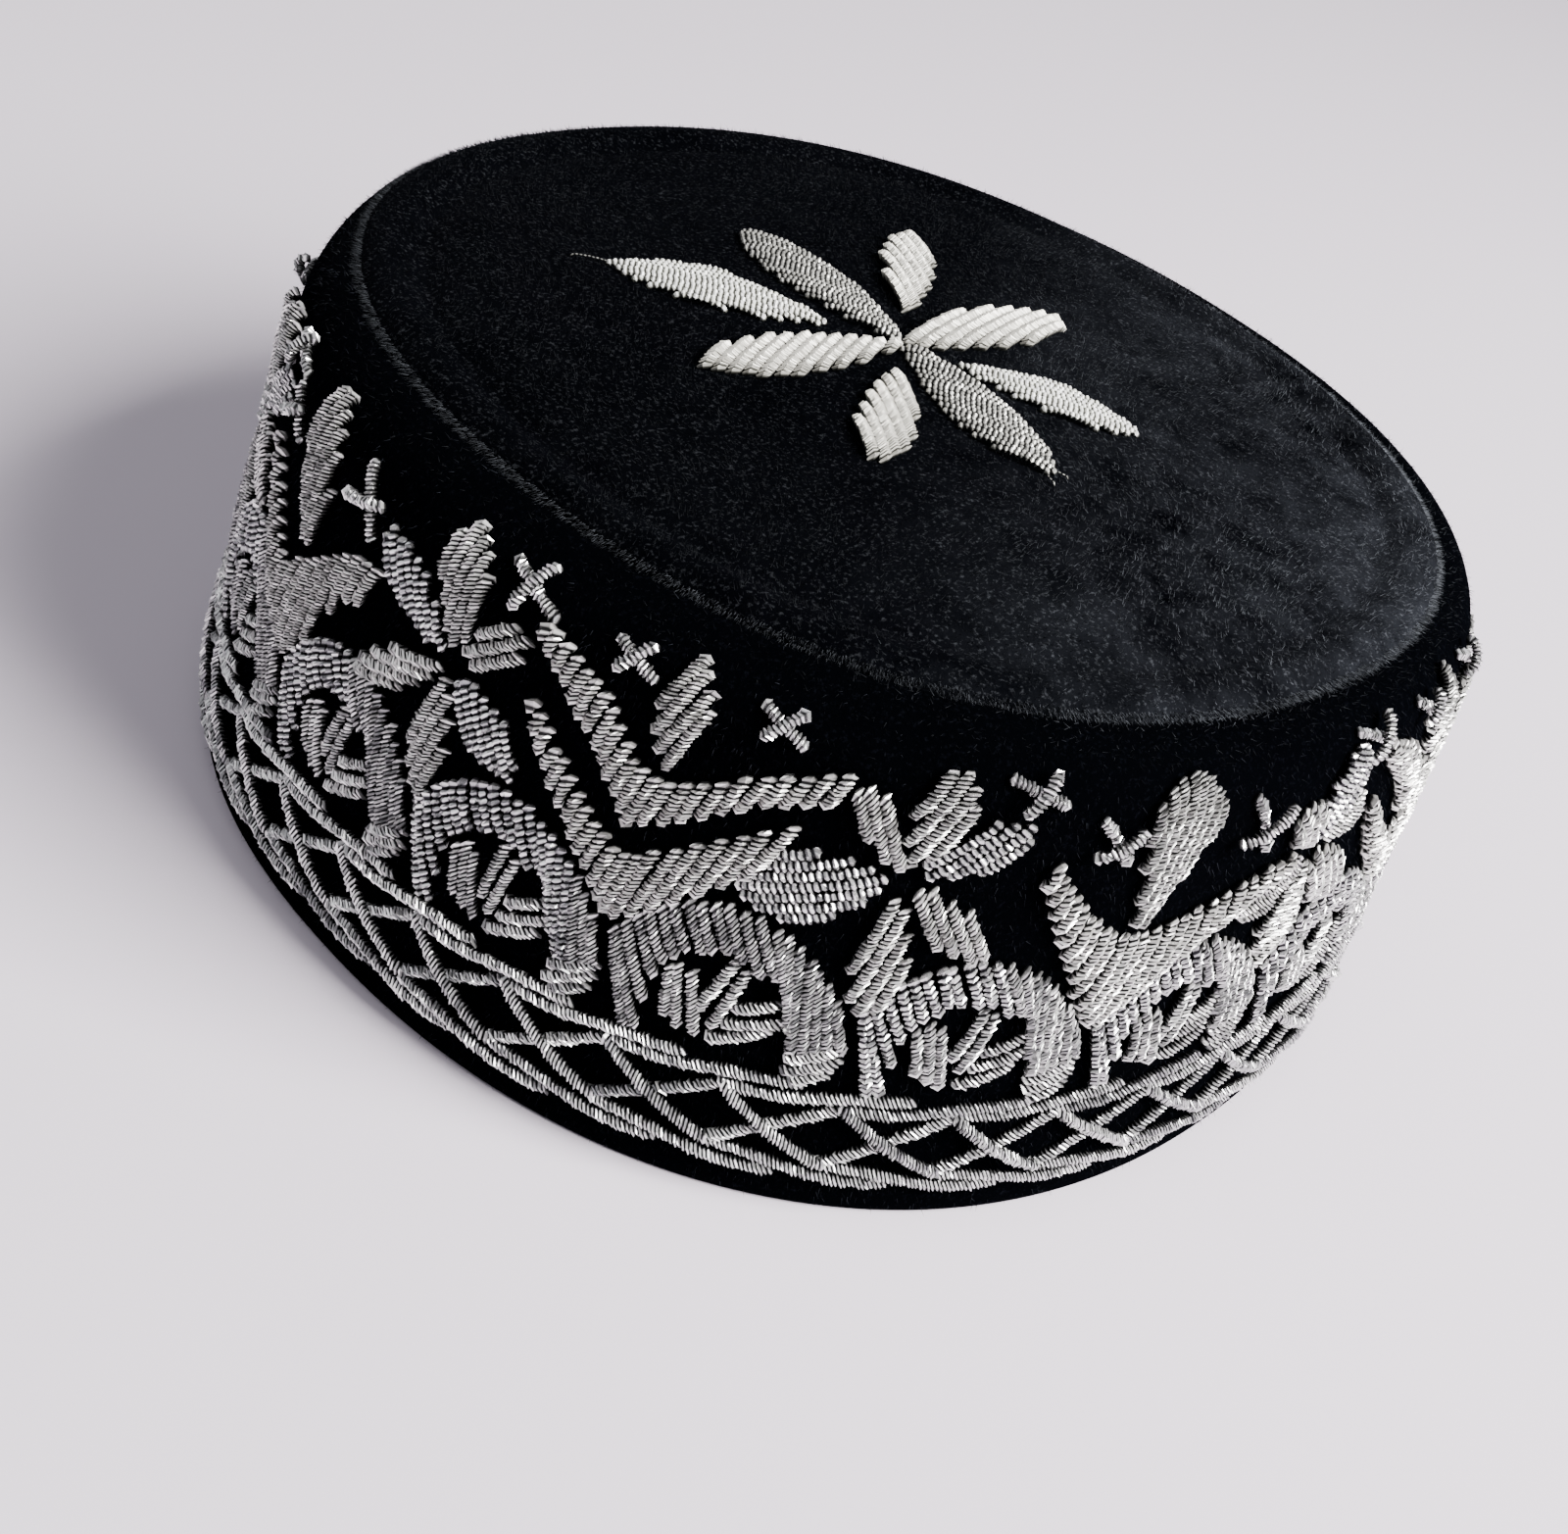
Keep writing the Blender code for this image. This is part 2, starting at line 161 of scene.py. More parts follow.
def corners_of(vertices):
    """The places of vertices as an array, in their order."""
    return np.array([corner.co for corner in vertices])


def finish_shape(name, shape, points):
    """Move a shape's corners to their places and make a smooth object of it."""
    bmesh.ops.recalc_face_normals(shape, faces=shape.faces)
    mesh = mesh_of(name, shape)
    mesh.polygons.foreach_set("use_smooth", np.ones(len(mesh.polygons), bool))
    set_corners(mesh, points)
    return add_object(name, mesh)


# The section runs up the outside, tucks in at the seam, and comes back down the inside.
# It is spun with the run as its height and the depth into the cloth told by its distance.
SPIN_RADIUS = 0.1
outer_runs = np.concatenate((np.linspace(HEM_ROUND, WALL_HEIGHT, 30), np.linspace(WALL_HEIGHT, WALL_RUN, 15)[1:]))
hem_turns = np.linspace(math.pi, 0.0, 9)
band_section = [(SPIN_RADIUS - HEM_ROUND + HEM_ROUND * math.cos(turn), HEM_ROUND - HEM_ROUND * math.sin(turn))
                for turn in hem_turns]
band_section += [(SPIN_RADIUS, run) for run in outer_runs[1:]]
band_section += [(SPIN_RADIUS - WALL, run) for run in outer_runs[:0:-1]]

band_shape = spun(band_section, True)
flat = corners_of(band_shape.verts)
band_share = np.arctan2(flat[:, 1], flat[:, 0]) / (2.0 * math.pi)
band_depth = SPIN_RADIUS - np.hypot(flat[:, 0], flat[:, 1])
band_run = flat[:, 2]
near_seam = np.clip((band_run - (WALL_RUN - SEAM_TUCK_RUN)) / SEAM_TUCK_RUN, 0.0, 1.0)
band_points, _ = on_band(band_share, band_run, -band_depth - SEAM_TUCK * near_seam ** 2)
band_velvet = finish_shape("band_velvet", band_shape, band_points)


def new_group(name, inputs, outputs):
    """An empty shader node group whose sockets are given as {name: kind}."""
    tree = bpy.data.node_groups.new(name, "ShaderNodeTree")
    for sockets, way in ((inputs, "INPUT"), (outputs, "OUTPUT")):
        for label, kind in sockets.items():
            tree.interface.new_socket(label, in_out=way, socket_type=f"NodeSocket{kind}")
    return tree, tree.nodes.new("NodeGroupInput").outputs, tree.nodes.new("NodeGroupOutput")


def give(tree, socket, value):
    """Give a socket a value, or link it to another node's output."""
    if isinstance(value, bpy.types.NodeSocket):
        tree.links.new(value, socket)
    else:
        socket.default_value = value


def give_inputs(tree, node, values):
    """Give a node's inputs their values or links, by name."""
    for label, value in values.items():
        give(tree, node.inputs[label], value)
    return node


def add_node(tree, kind, values):
    """A new node with some inputs given by name."""
    return give_inputs(tree, tree.nodes.new(f"ShaderNode{kind}"), values)


def add_math(tree, operation, first, second):
    """A math node fed by two sockets or numbers."""
    node = tree.nodes.new("ShaderNodeMath")
    node.operation = operation
    give(tree, node.inputs[0], first)
    give(tree, node.inputs[1], second)
    return node.outputs[0]


def add_noise(tree, place, scale, detail, roughness=0.5):
    """A noise texture at a place."""
    return add_node(tree, "TexNoise", {"Scale": scale, "Detail": detail, "Roughness": roughness,
                                       "Vector": place}).outputs["Fac"]


def add_mix(tree, share, first, second):
    """A colour between two colours, each a socket or four numbers."""
    node = tree.nodes.new("ShaderNodeMix")
    node.data_type = "RGBA"
    give(tree, node.inputs["Factor"], share)
    for socket, value in zip([s for s in node.inputs if s.type == "RGBA"], (first, second)):
        give(tree, socket, value)
    return [s for s in node.outputs if s.type == "RGBA"][0]


def add_ramp(tree, share, low, high):
    """A share stretched so that low becomes 0 and high becomes 1."""
    return add_node(tree, "MapRange", {"From Min": low, "From Max": high, "Value": share}).outputs["Result"]


def add_group(tree, group, values):
    """A node that uses a group."""
    node = tree.nodes.new("ShaderNodeGroup")
    node.node_tree = group
    return give_inputs(tree, node, values)


def new_material(name):
    """A new material, with its node tree and its shader."""
    material = bpy.data.materials.new(name)
    material.use_nodes = True
    return material, material.node_tree, material.node_tree.nodes["Principled BSDF"]


# Where the painted light on the nap starts and where it is brightest, along its lit direction
PAINTED_LIGHT_FROM, PAINTED_LIGHT_TO = -4.0 * MM, 88.0 * MM

# Brushed nap as painted sheen: broad lighter patches where the pile lies another way, and fine lighter flecks as
# painted fibre glints, all painted stronger along the lit direction
nap, nap_in, nap_out = new_group(
    "velvet nap with painted sheen",
    {"Place": "Vector", "Dark": "Color", "Light": "Color", "Fleck": "Color", "Painted light towards": "Vector"},
    {"Colour": "Color", "Height": "Float"})
broad_patch = add_ramp(nap, add_noise(nap, nap_in["Place"], 34.0, 3.0), 0.36, 0.66)
small_patch = add_ramp(nap, add_noise(nap, nap_in["Place"], 170.0, 4.0, 0.6), 0.35, 0.70)
facing = nap.nodes.new("ShaderNodeVectorMath")
facing.operation = "DOT_PRODUCT"
give(nap, facing.inputs[0], nap_in["Place"])
give(nap, facing.inputs[1], nap_in["Painted light towards"])
# Painted light: the share of the way along the lit direction, which brightens the patches
painted_light_share = add_ramp(nap, facing.outputs["Value"], PAINTED_LIGHT_FROM, PAINTED_LIGHT_TO)
broad_part = add_math(nap, "MULTIPLY", broad_patch, 0.45)
patches = add_math(nap, "ADD", broad_part, add_math(nap, "MULTIPLY", small_patch, 0.55))
patches = add_math(nap, "MULTIPLY", patches, add_math(nap, "ADD", painted_light_share, 0.06))
fleck = add_ramp(nap, add_noise(nap, nap_in["Place"], 1500.0, 2.0, 0.7), 0.56, 0.80)
nap_colour = add_mix(nap, patches, nap_in["Dark"], nap_in["Light"])
nap_colour = add_mix(nap, add_math(nap, "MULTIPLY", fleck, add_math(nap, "ADD", patches, 0.25)),
                     nap_colour, nap_in["Fleck"])
fine_nap = add_noise(nap, nap_in["Place"], 1100.0, 3.0, 0.7)
give_inputs(nap, nap_out, {
    "Colour": nap_colour, "Height": add_math(nap, "ADD", fine_nap, add_math(nap, "MULTIPLY", patches, 0.8))})


def velvet(name, dark, light, fleck_colour, sheen, painted_light_towards=(0.0, 0.0, 0.0)):
    """A velvet: near-black pile that lights up only where it is seen or lit at a low angle, with painted sheen in its
    nap that grows along a lit direction.
    """
    material, tree, shader = new_material(name)
    pattern = add_group(tree, nap, {
        "Place": tree.nodes.new("ShaderNodeTexCoord").outputs["Object"], "Dark": dark, "Light": light,
        "Fleck": fleck_colour, "Painted light towards": painted_light_towards})
    bump = add_node(tree, "Bump", {"Strength": 0.6, "Distance": 0.4 * MM, "Height": pattern.outputs["Height"]})
    give_inputs(tree, shader, {
        "Base Color": pattern.outputs["Colour"], "Normal": bump.outputs["Normal"], "Roughness": 0.95,
        "Specular IOR Level": 0.0, "Sheen Weight": sheen, "Sheen Roughness": 0.38,
        "Sheen Tint": (0.72, 0.78, 1.0, 1.0)})
    return material


band_velvet.data.materials.append(velvet(
    "band velvet", (0.0004, 0.0005, 0.0008, 1.0), (0.0020, 0.0023, 0.0036, 1.0), (0.008, 0.009, 0.013, 1.0), 0.004))
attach(band_velvet, "root")
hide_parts("side_band")


# ----------------------------------------
# The crown: an oval of the same velvet over a stiff, slightly domed lining. It is turned
# in all round and sewn to the rim, and its edge stands up in a soft puffed welt.

CROWN_RISE = 4.0 * MM
CROWN_THICKNESS = 3.0 * MM
WELT_HEIGHT = 1.3 * MM
WELT_FROM_EDGE = 4.0 * MM
WELT_WIDTH = 3.6 * MM
CREASE_DEPTH = 0.7 * MM
CREASE_FROM_EDGE = 9.5 * MM
CREASE_WIDTH = 1.6 * MM
EDGE_ROLL = 2.4 * MM
EDGE_FALL = 1.5 * MM
LIP = 1.6 * MM                 # how far the crown's edge laps over the rim
CROWN_RINGS = 46
# Painted light: the crown's velvet and pile are painted lighter towards its near right side, where the window lamp
# falls
PAINTED_LIGHT_TOWARDS = (0.58, -0.815, 0.0)
CROWN_HALF_LENGTH = HALF_LENGTH - WALL_TAPER - RIM_INSET_LENGTH + LIP
CROWN_HALF_WIDTH = HALF_WIDTH - WALL_TAPER - RIM_INSET_WIDTH + LIP


def crown_top(x, y):
    """Height of the velvet's top over a point of the crown."""
    across = np.abs(y - CENTRE_Y - CROWN_SHIFT) / CROWN_HALF_WIDTH
    along = np.abs(x - CENTRE_X) / CROWN_HALF_LENGTH
    ring = np.minimum((along ** OUTLINE_POWER + across ** OUTLINE_POWER) ** (1.0 / OUTLINE_POWER), 1.0)
    from_edge = (1.0 - ring) * CROWN_HALF_LENGTH
    welt = WELT_HEIGHT * np.exp(-((from_edge - WELT_FROM_EDGE) / WELT_WIDTH) ** 2)
    welt = welt - CREASE_DEPTH * np.exp(-((from_edge - CREASE_FROM_EDGE) / CREASE_WIDTH) ** 2)
    rolled = np.clip(1.0 - from_edge / EDGE_ROLL, 0.0, 1.0)
    edge_fall = EDGE_FALL * (1.0 - np.sqrt(1.0 - np.minimum(rolled, 0.999) ** 2))
    uneven = 0.35 * MM * (np.sin(61 * x + 1.0) * np.cos(47 * y) + np.sin(83 * y + 26 * x))
    height = SEAM_HEIGHT + CROWN_RISE * (1.0 - ring ** 2) + welt - edge_fall
    return height + uneven * (1.0 - ring ** 4) - TOP_LEAN * (x - CENTRE_X)


def on_crown(x, y, lift):
    """Points at a lift off the crown, and the crown's outward directions there."""
    step = 0.4 * MM
    slope_x = (crown_top(x + step, y) - crown_top(x - step, y)) / (2 * step)
    slope_y = (crown_top(x, y + step) - crown_top(x, y - step)) / (2 * step)
    normal = normalised(np.stack((-slope_x, -slope_y, np.ones_like(slope_x)), axis=-1))
    points = np.stack((x, y, crown_top(x, y)), axis=-1)
    return points + normal * np.asarray(lift)[..., None], normal


# Rings crowd towards the edge, where the welt is; the underside is told by its height
crown_rings = 1.0 - np.linspace(1.0, 0.0, CROWN_RINGS) ** 1.6
crown_section = [(ring, 1.0) for ring in crown_rings] + [(ring, 0.0) for ring in (1.0, 0.93, 0.6, 0.0)]
crown_shape = spun(crown_section, False)
flat = corners_of(crown_shape.verts)
crown_share = np.arctan2(flat[:, 1], flat[:, 0]) / (2.0 * math.pi)
crown_ring = np.hypot(flat[:, 0], flat[:, 1])
crown_angle = np.interp((crown_share % 1.0) * GIRTH, LENGTHS, ANGLES)
crown_x, crown_y = oval(crown_angle, CROWN_HALF_LENGTH, CROWN_HALF_WIDTH)
crown_sway = SWAY_COSINE * np.cos(3 * crown_angle) + SWAY_SINE * np.sin(3 * crown_angle)
crown_x = crown_x * crown_ring * (1 + crown_sway / CROWN_HALF_LENGTH) + CENTRE_X
crown_y = crown_y * crown_ring * (1 + crown_sway / CROWN_HALF_LENGTH) + CENTRE_Y + CROWN_SHIFT
crown_height = crown_top(crown_x, crown_y)
underside = flat[:, 2] < 0.5
crown_height[underside] = SEAM_HEIGHT - CROWN_THICKNESS - TOP_LEAN * (crown_x - CENTRE_X)[underside]
crown_velvet = finish_shape("crown_velvet", crown_shape, np.stack((crown_x, crown_y, crown_height), axis=-1))
# Its light patches and flecks are painted sheen and painted glints, growing towards the near right side
crown_velvet.data.materials.append(velvet(
    "crown velvet", (0.0004, 0.0005, 0.0009, 1.0), (0.017, 0.0185, 0.0225, 1.0), (0.075, 0.080, 0.090, 1.0), 0.004,
    PAINTED_LIGHT_TOWARDS))
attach(crown_velvet, "root")
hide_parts("crown_panel")


# ----------------------------------------
# The pile: short silk fibres that stand out of the velvet's back and have been brushed
# over. They catch the light along the rim and give the cap its soft outline; their colours carry painted light,
# lighter towards the near right side and along the crown's edge.

PILE_LENGTH = 1.05 * MM
PILE_WIDTH = 0.10 * MM
PILE_LEAN = 0.9
PILE_FLOOR = 0.1 * MM
CROWN_FIBRES = 30000
EDGE_FIBRES = 12000
RIM_FIBRES = 6000
RIM_FRINGE = 7.0 * MM
BAND_FIBRES = 24000


def repeated(template, count):
    """Many copies of a template mesh in one mesh, copy after copy, all in one place."""
    holder = add_object("repeat", template)
    rows = holder.modifiers.new("rows", "ARRAY")
    rows.use_relative_offset = False
    rows.count = count
    graph = bpy.context.evaluated_depsgraph_get()
    mesh = bpy.data.meshes.new_from_object(holder.evaluated_get(graph))
    bpy.data.objects.remove(holder)
    return mesh


def fibre_template():
    """One fibre: a three-sided spike with its foot closed."""
    shape = bmesh.new()
    bmesh.ops.create_cone(shape, cap_ends=True, segments=3, radius1=1.0, radius2=0.0, depth=1.0)
    bmesh.ops.remove_doubles(shape, verts=shape.verts, dist=0.001)
    return mesh_of("fibre", shape)


def grow_pile(name, roots, normals, lean_to, spread, painted_shine, seed):
    """Fibres that stand at the roots and lean one way with some spread, each with a painted shine from 0 to 1 that
    lightens its colour.
    """
    draw = np.random.default_rng(seed)
    count = len(roots)
    template = fibre_template()
    spike = corners_of(template.vertices)
    mesh = repeated(template, count)
    mesh.name = name
    along = normalised(normals + lean_to * PILE_LEAN + draw.normal(0.0, 1.0, (count, 3)) * spread[:, None])
    aside = normalised(np.cross(along, draw.normal(0.0, 1.0, (count, 3))))
    third = np.cross(along, aside)
    length = PILE_LENGTH * draw.uniform(0.55, 1.25, (count, 1, 1))
    width = PILE_WIDTH / 2
    points = (roots[:, None, :] - normals[:, None, :] * 0.1 * MM
              + aside[:, None, :] * spike[None, :, 0:1] * width + third[:, None, :] * spike[None, :, 1:2] * width
              + along[:, None, :] * (spike[None, :, 2:3] + 0.5) * length)
    points[..., 2] = np.maximum(points[..., 2], PILE_FLOOR)
    set_corners(mesh, points, tone=np.repeat(draw.random(count) ** 1.5 * painted_shine, len(spike)))
    piece = add_object(name, mesh)
    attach(piece, "root")
    return piece


def pile_finish(name, dark, light):
    """Fibres coloured from the pile's dark to a painted highlight on the few that would catch the light."""
    material, tree, shader = new_material(name)
    tone = tree.nodes.new("ShaderNodeAttribute")
    tone.attribute_name = "tone"
    give_inputs(tree, shader, {"Base Color": add_mix(tree, tone.outputs["Fac"], dark, light), "Roughness": 0.8,
                               "Specular IOR Level": 0.05})
    return material


draw = np.random.default_rng(11)
spots = draw.uniform(-1.0, 1.0, (CROWN_FIBRES * 2, 2))
inside = (np.abs(spots[:, 0]) ** OUTLINE_POWER + np.abs(spots[:, 1]) ** OUTLINE_POWER) < 0.985
spots = spots[inside][:CROWN_FIBRES]
edge_angle = np.interp(draw.random(EDGE_FIBRES) * GIRTH, LENGTHS, ANGLES)
edge_spots = np.stack(oval(edge_angle, 1.0, 1.0), axis=-1) * draw.uniform(0.985, 0.998, (EDGE_FIBRES, 1))
at_edge = np.arange(CROWN_FIBRES + EDGE_FIBRES) >= len(spots)
spots = np.concatenate((spots, edge_spots))
crown_roots, crown_normals = on_crown(spots[:, 0] * CROWN_HALF_LENGTH + CENTRE_X,
                                      spots[:, 1] * CROWN_HALF_WIDTH + CENTRE_Y + CROWN_SHIFT, np.zeros(len(spots)))
brushed = np.stack((np.cos(9 * spots[:, 1] + 4 * spots[:, 0]), np.sin(7 * spots[:, 0] - 3 * spots[:, 1]),
                    np.zeros(len(spots))), axis=-1)
outward = np.column_stack((spots, np.full(len(spots), -0.5)))
brushed = np.where(at_edge[:, None], outward * 1.2, brushed * 0.9)
rim_run = WALL_RUN - RIM_FRINGE * draw.random(RIM_FIBRES) ** 1.5
rim_roots, rim_normals = on_band(draw.random(RIM_FIBRES), rim_run, np.zeros(RIM_FIBRES))
crown_roots = np.concatenate((crown_roots, rim_roots))
crown_normals = np.concatenate((crown_normals, rim_normals))
brushed = np.concatenate((brushed, np.broadcast_to(np.array((0.0, 0.0, -1.0)), rim_roots.shape)))
at_edge = np.concatenate((at_edge, np.zeros(RIM_FIBRES, bool)))
rim_fade = 1.0 - (WALL_RUN - rim_run) / RIM_FRINGE
# Painted light on the pile: fibres are painted lighter towards the near right side, fading down the rim, mottled, and
# lighter still along the crown's edge as a painted highlight
lit = np.clip((crown_roots @ np.array(PAINTED_LIGHT_TOWARDS) - PAINTED_LIGHT_FROM) / (PAINTED_LIGHT_TO - PAINTED_LIGHT_FROM), 0.0, 1.0)
sheen_ruffle = 0.5 + 0.5 * np.sin(120 * crown_roots[:, 0] + 3 * np.sin(90 * crown_roots[:, 1])) * np.cos(
    95 * crown_roots[:, 1] + 2 * np.sin(140 * crown_roots[:, 0]))
lit[-RIM_FIBRES:] *= rim_fade
crown_painted_shine = np.clip((0.07 + 0.93 * lit) * (0.45 + 0.55 * sheen_ruffle) + 0.22 * at_edge, 0.0, 1.0)
crown_spread = np.where(at_edge, 0.25, 0.45)
crown_pile = grow_pile("crown_pile", crown_roots, crown_normals, brushed, crown_spread, crown_painted_shine, 12)
crown_pile.data.materials.append(pile_finish("crown pile", (0.0008, 0.0010, 0.0015, 1.0), (0.19, 0.205, 0.23, 1.0)))

draw = np.random.default_rng(21)
pile_share = draw.random(BAND_FIBRES)
pile_run = draw.uniform(1.0 * MM, WALL_RUN - 0.4 * MM, BAND_FIBRES)
band_roots, band_normals = on_band(pile_share, pile_run, np.zeros(BAND_FIBRES))
downward = np.broadcast_to(np.array((0.0, 0.0, -1.0)), band_roots.shape)
# The band's fibres get a faint painted highlight, at random
band_pile = grow_pile("band_pile", band_roots, band_normals, downward, np.full(BAND_FIBRES, 0.45),
                      np.ones(BAND_FIBRES), 22)
band_pile.data.materials.append(pile_finish("band pile", (0.0008, 0.0009, 0.0013, 1.0), (0.018, 0.020, 0.026, 1.0)))


# ----------------------------------------
# The net round the hem: lengths of silver purl, a tight coil of fine wire cut like beads
# and sewn down over the velvet. Two rows of overlapping lengths edge it, and between them
# single lengths cross.

PURL_WIDTH = 1.86 * MM
PURL_PITCH = 0.62 * MM
PURL_SIDES = 5
PURL_LIFT = 0.75 * MM           # its middle off the cloth, and how much higher halfway along
PURL_ARCH = 0.55 * MM
END_DIP = 0.45 * MM             # how far its ends are pulled down by the stitch
GROOVE_DEPTH = 0.34
COIL_SLANT = 0.60
PAINTED_SIDE_LEVEL = 0.66              # painted shade: how bright a winding is painted at its side towards the cloth, and how much brighter on top
PAINTED_TOP_RISE = 0.5
WINDING_UNEVEN = 0.18
TONE_UNEVEN = 0.55
TWIST_UNEVEN = 0.42
ASIDE_UNEVEN = 0.05 * MM
NET_CROSSINGS = 38
# Stitches near the rim were charted on the flat, so they creep down where the cloth rolls
ROLL_SQUEEZE = 0.75
# The side away from the photo is worked a little lower, clear of the rim
FAR_DROP = 8.0 * MM
FAR_DROP_FROM = 24.0 * MM
FAR_DROP_EDGES = ((0, 1), (0.365, 1), (0.385, 0), (0.825, 0), (0.845, 1), (1, 1))


def purl_template(rings):
    """A length of purl before it is laid: a closed tube cut into rings."""
    shape = bmesh.new()
    bmesh.ops.create_cone(shape, cap_ends=True, segments=PURL_SIDES, radius1=1.0, radius2=1.0, depth=1.0)
    upright = [edge for edge in shape.edges if abs(edge.verts[0].co.z - edge.verts[1].co.z) > 0.5]
    bmesh.ops.subdivide_edges(shape, edges=upright, cuts=rings - 1, use_grid_fill=True)
    bmesh.ops.recalc_face_normals(shape, faces=shape.faces)
    return mesh_of("purl", shape)


def reach_of(points):
    """How far along a polyline each of its points is."""
    return np.concatenate(([0.0], np.cumsum(np.linalg.norm(np.diff(points, axis=0), axis=1))))


def points_at(along, reach, points):
    """Points of a polyline at distances along it."""
    return np.stack([np.interp(along, reach, column) for column in points.T], axis=-1)


def cut_purl(points, lift=PURL_LIFT, arch=PURL_ARCH, width=PURL_WIDTH, pitch=PURL_PITCH, tone=0.5):
    """A length of purl along chart points, with a ring on each crest and in each groove of its coil."""
    points = np.asarray(points, float)
    if len(points) > 2:
        smooth = points_at(np.linspace(0.0, 1.0, 41), np.linspace(0.0, 1.0, len(points)), points)
        for _ in range(12):
            smooth[1:-1] = (smooth[:-2] + 2 * smooth[1:-1] + smooth[2:]) / 4
        points = smooth
    reach = reach_of(points)
    turns = max(2, round(reach[-1] / pitch))
    along = np.linspace(0.0, 1.0, 2 * turns + 1)
    path = points_at(along * reach[-1], reach, points)
    swell = np.sin(math.pi * along) ** 0.5
    crest = (np.arange(2 * turns + 1) % 2).astype(float)
    radius = width / 2 * (1.0 - GROOVE_DEPTH * (1.0 - crest))
    lifts = lift + arch * swell - END_DIP * (1.0 - swell) ** 2
    return {"path": path, "lift": lifts, "radius": radius, "crest": crest, "tone": tone}


def sew_down(name, lengths, place, seed, finish, slant=COIL_SLANT, uneven=1.0):
    """Lay every length on the cloth and join them in one mesh, with crest and painted side shade, tone and painted
    glint stored on it.
    """
    draw = np.random.default_rng(seed)
    groups = {}
    for length in lengths:
        groups.setdefault(len(length["path"]), []).append(length)
    shape = bmesh.new()
    points, crests_with_side_shade, tones, glints = [], [], [], []
    for rings in sorted(groups):
        members = groups[rings]
        template = purl_template(rings - 1)
        tube = corners_of(template.vertices)
        ring = np.rint((tube[:, 2] + 0.5) * (rings - 1)).astype(int)
        turn = np.arctan2(tube[:, 1], tube[:, 0])
        path, lift, radius, crest, tone = (np.array([length[label] for length in members])
                                           for label in ("path", "lift", "radius", "crest", "tone"))
        radius = radius * (1.0 + WINDING_UNEVEN * uneven * draw.uniform(-1.0, 1.0, radius.shape))
        centre, normal = place(path[..., 0], path[..., 1], lift)
        tangent = normalised(np.gradient(centre, axis=1))
        aside = normalised(np.cross(tangent, normal))
        above = np.cross(aside, tangent)
        width = radius[:, ring, None]
        twist = TWIST_UNEVEN * uneven * draw.uniform(-1.0, 1.0, radius.shape)[:, ring, None]
        sideways = ASIDE_UNEVEN * draw.uniform(-1.0, 1.0, radius.shape)[:, ring, None]
        across, upward = np.cos(turn[None, :, None] + twist), np.sin(turn[None, :, None] + twist)
        points.append((centre[:, ring] + sideways * aside[:, ring] + width * (
            across * aside[:, ring] + upward * above[:, ring] + slant * across * tangent[:, ring])).reshape(-1, 3))
        # Painted shade: each winding is painted darker down its sides towards the cloth
        crests_with_side_shade.append((crest[:, ring] * np.clip(PAINTED_SIDE_LEVEL + PAINTED_TOP_RISE * np.sin(turn), 0.0, 1.0)).ravel())
        tone = tone[:, None] + TONE_UNEVEN * draw.uniform(-1.0, 1.0, (len(members), rings))
        tones.append(np.clip(tone, 0.0, 1.0)[:, ring].ravel())
        # Painted glint: a random draw per winding picks the few painted near white
        glints.append(draw.random((len(members), rings))[:, ring].ravel())
        shape.from_mesh(repeated(template, len(members)))
    mesh = mesh_of(name, shape)
    set_corners(mesh, np.concatenate(points), crest=np.concatenate(crests_with_side_shade), tone=np.concatenate(tones),
                glint=np.concatenate(glints))
    piece = add_object(name, mesh)
    mesh.materials.append(finish)
    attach(piece, "root")
    return piece


def on_side(x, y, lift):
    """Place for a chart of the side: x metres round, y metres up the cloth."""
    share = x / GIRTH
    drop = FAR_DROP * np.interp(share % 1.0, *np.array(FAR_DROP_EDGES).T)
    run = y - drop * np.clip((y - FAR_DROP_FROM) / (WALL_RUN - FAR_DROP_FROM), 0.0, 1.0)
    run = np.where(run > WALL_HEIGHT, WALL_HEIGHT + (run - WALL_HEIGHT) * ROLL_SQUEEZE, run)
    return on_band(share, run, lift)


# Wire coil: painted shade between the windings and down their sides, lighter on their crests, each length its own
# tone, and painted glints on a few windings
coil, coil_in, coil_out = new_group(
    "purl coil",
    {"Crest": "Float", "Tone": "Float", "Glint": "Float", "Painted groove shade": "Color", "Crest colour": "Color",
     "Dull colour": "Color", "Glint from": "Float", "Dull roughness": "Float", "Glint roughness": "Float"},
    {"Colour": "Color", "Roughness": "Float"})
# Painted shade: the grooves and the sides towards the cloth take the groove shade
unshaded_share = add_ramp(coil, coil_in["Crest"], 0.26, 0.56)
# Painted glint: windings whose draw passes the threshold are painted near white and smoother
glint_over = add_math(coil, "SUBTRACT", coil_in["Glint"], coil_in["Glint from"])
painted_glint_share = add_ramp(coil, glint_over, 0.0, 0.08)
body_colour = add_mix(coil, coil_in["Tone"], coil_in["Dull colour"], coil_in["Crest colour"])
body_colour = add_mix(coil, painted_glint_share, body_colour, (0.95, 0.95, 0.93, 1.0))
rough_span = add_math(coil, "SUBTRACT", coil_in["Glint roughness"], coil_in["Dull roughness"])
rough_drop = add_math(coil, "MULTIPLY", rough_span, painted_glint_share)
give_inputs(coil, coil_out, {
    "Colour": add_mix(coil, unshaded_share, coil_in["Painted groove shade"], body_colour),
    "Roughness": add_math(coil, "ADD", coil_in["Dull roughness"], rough_drop)})


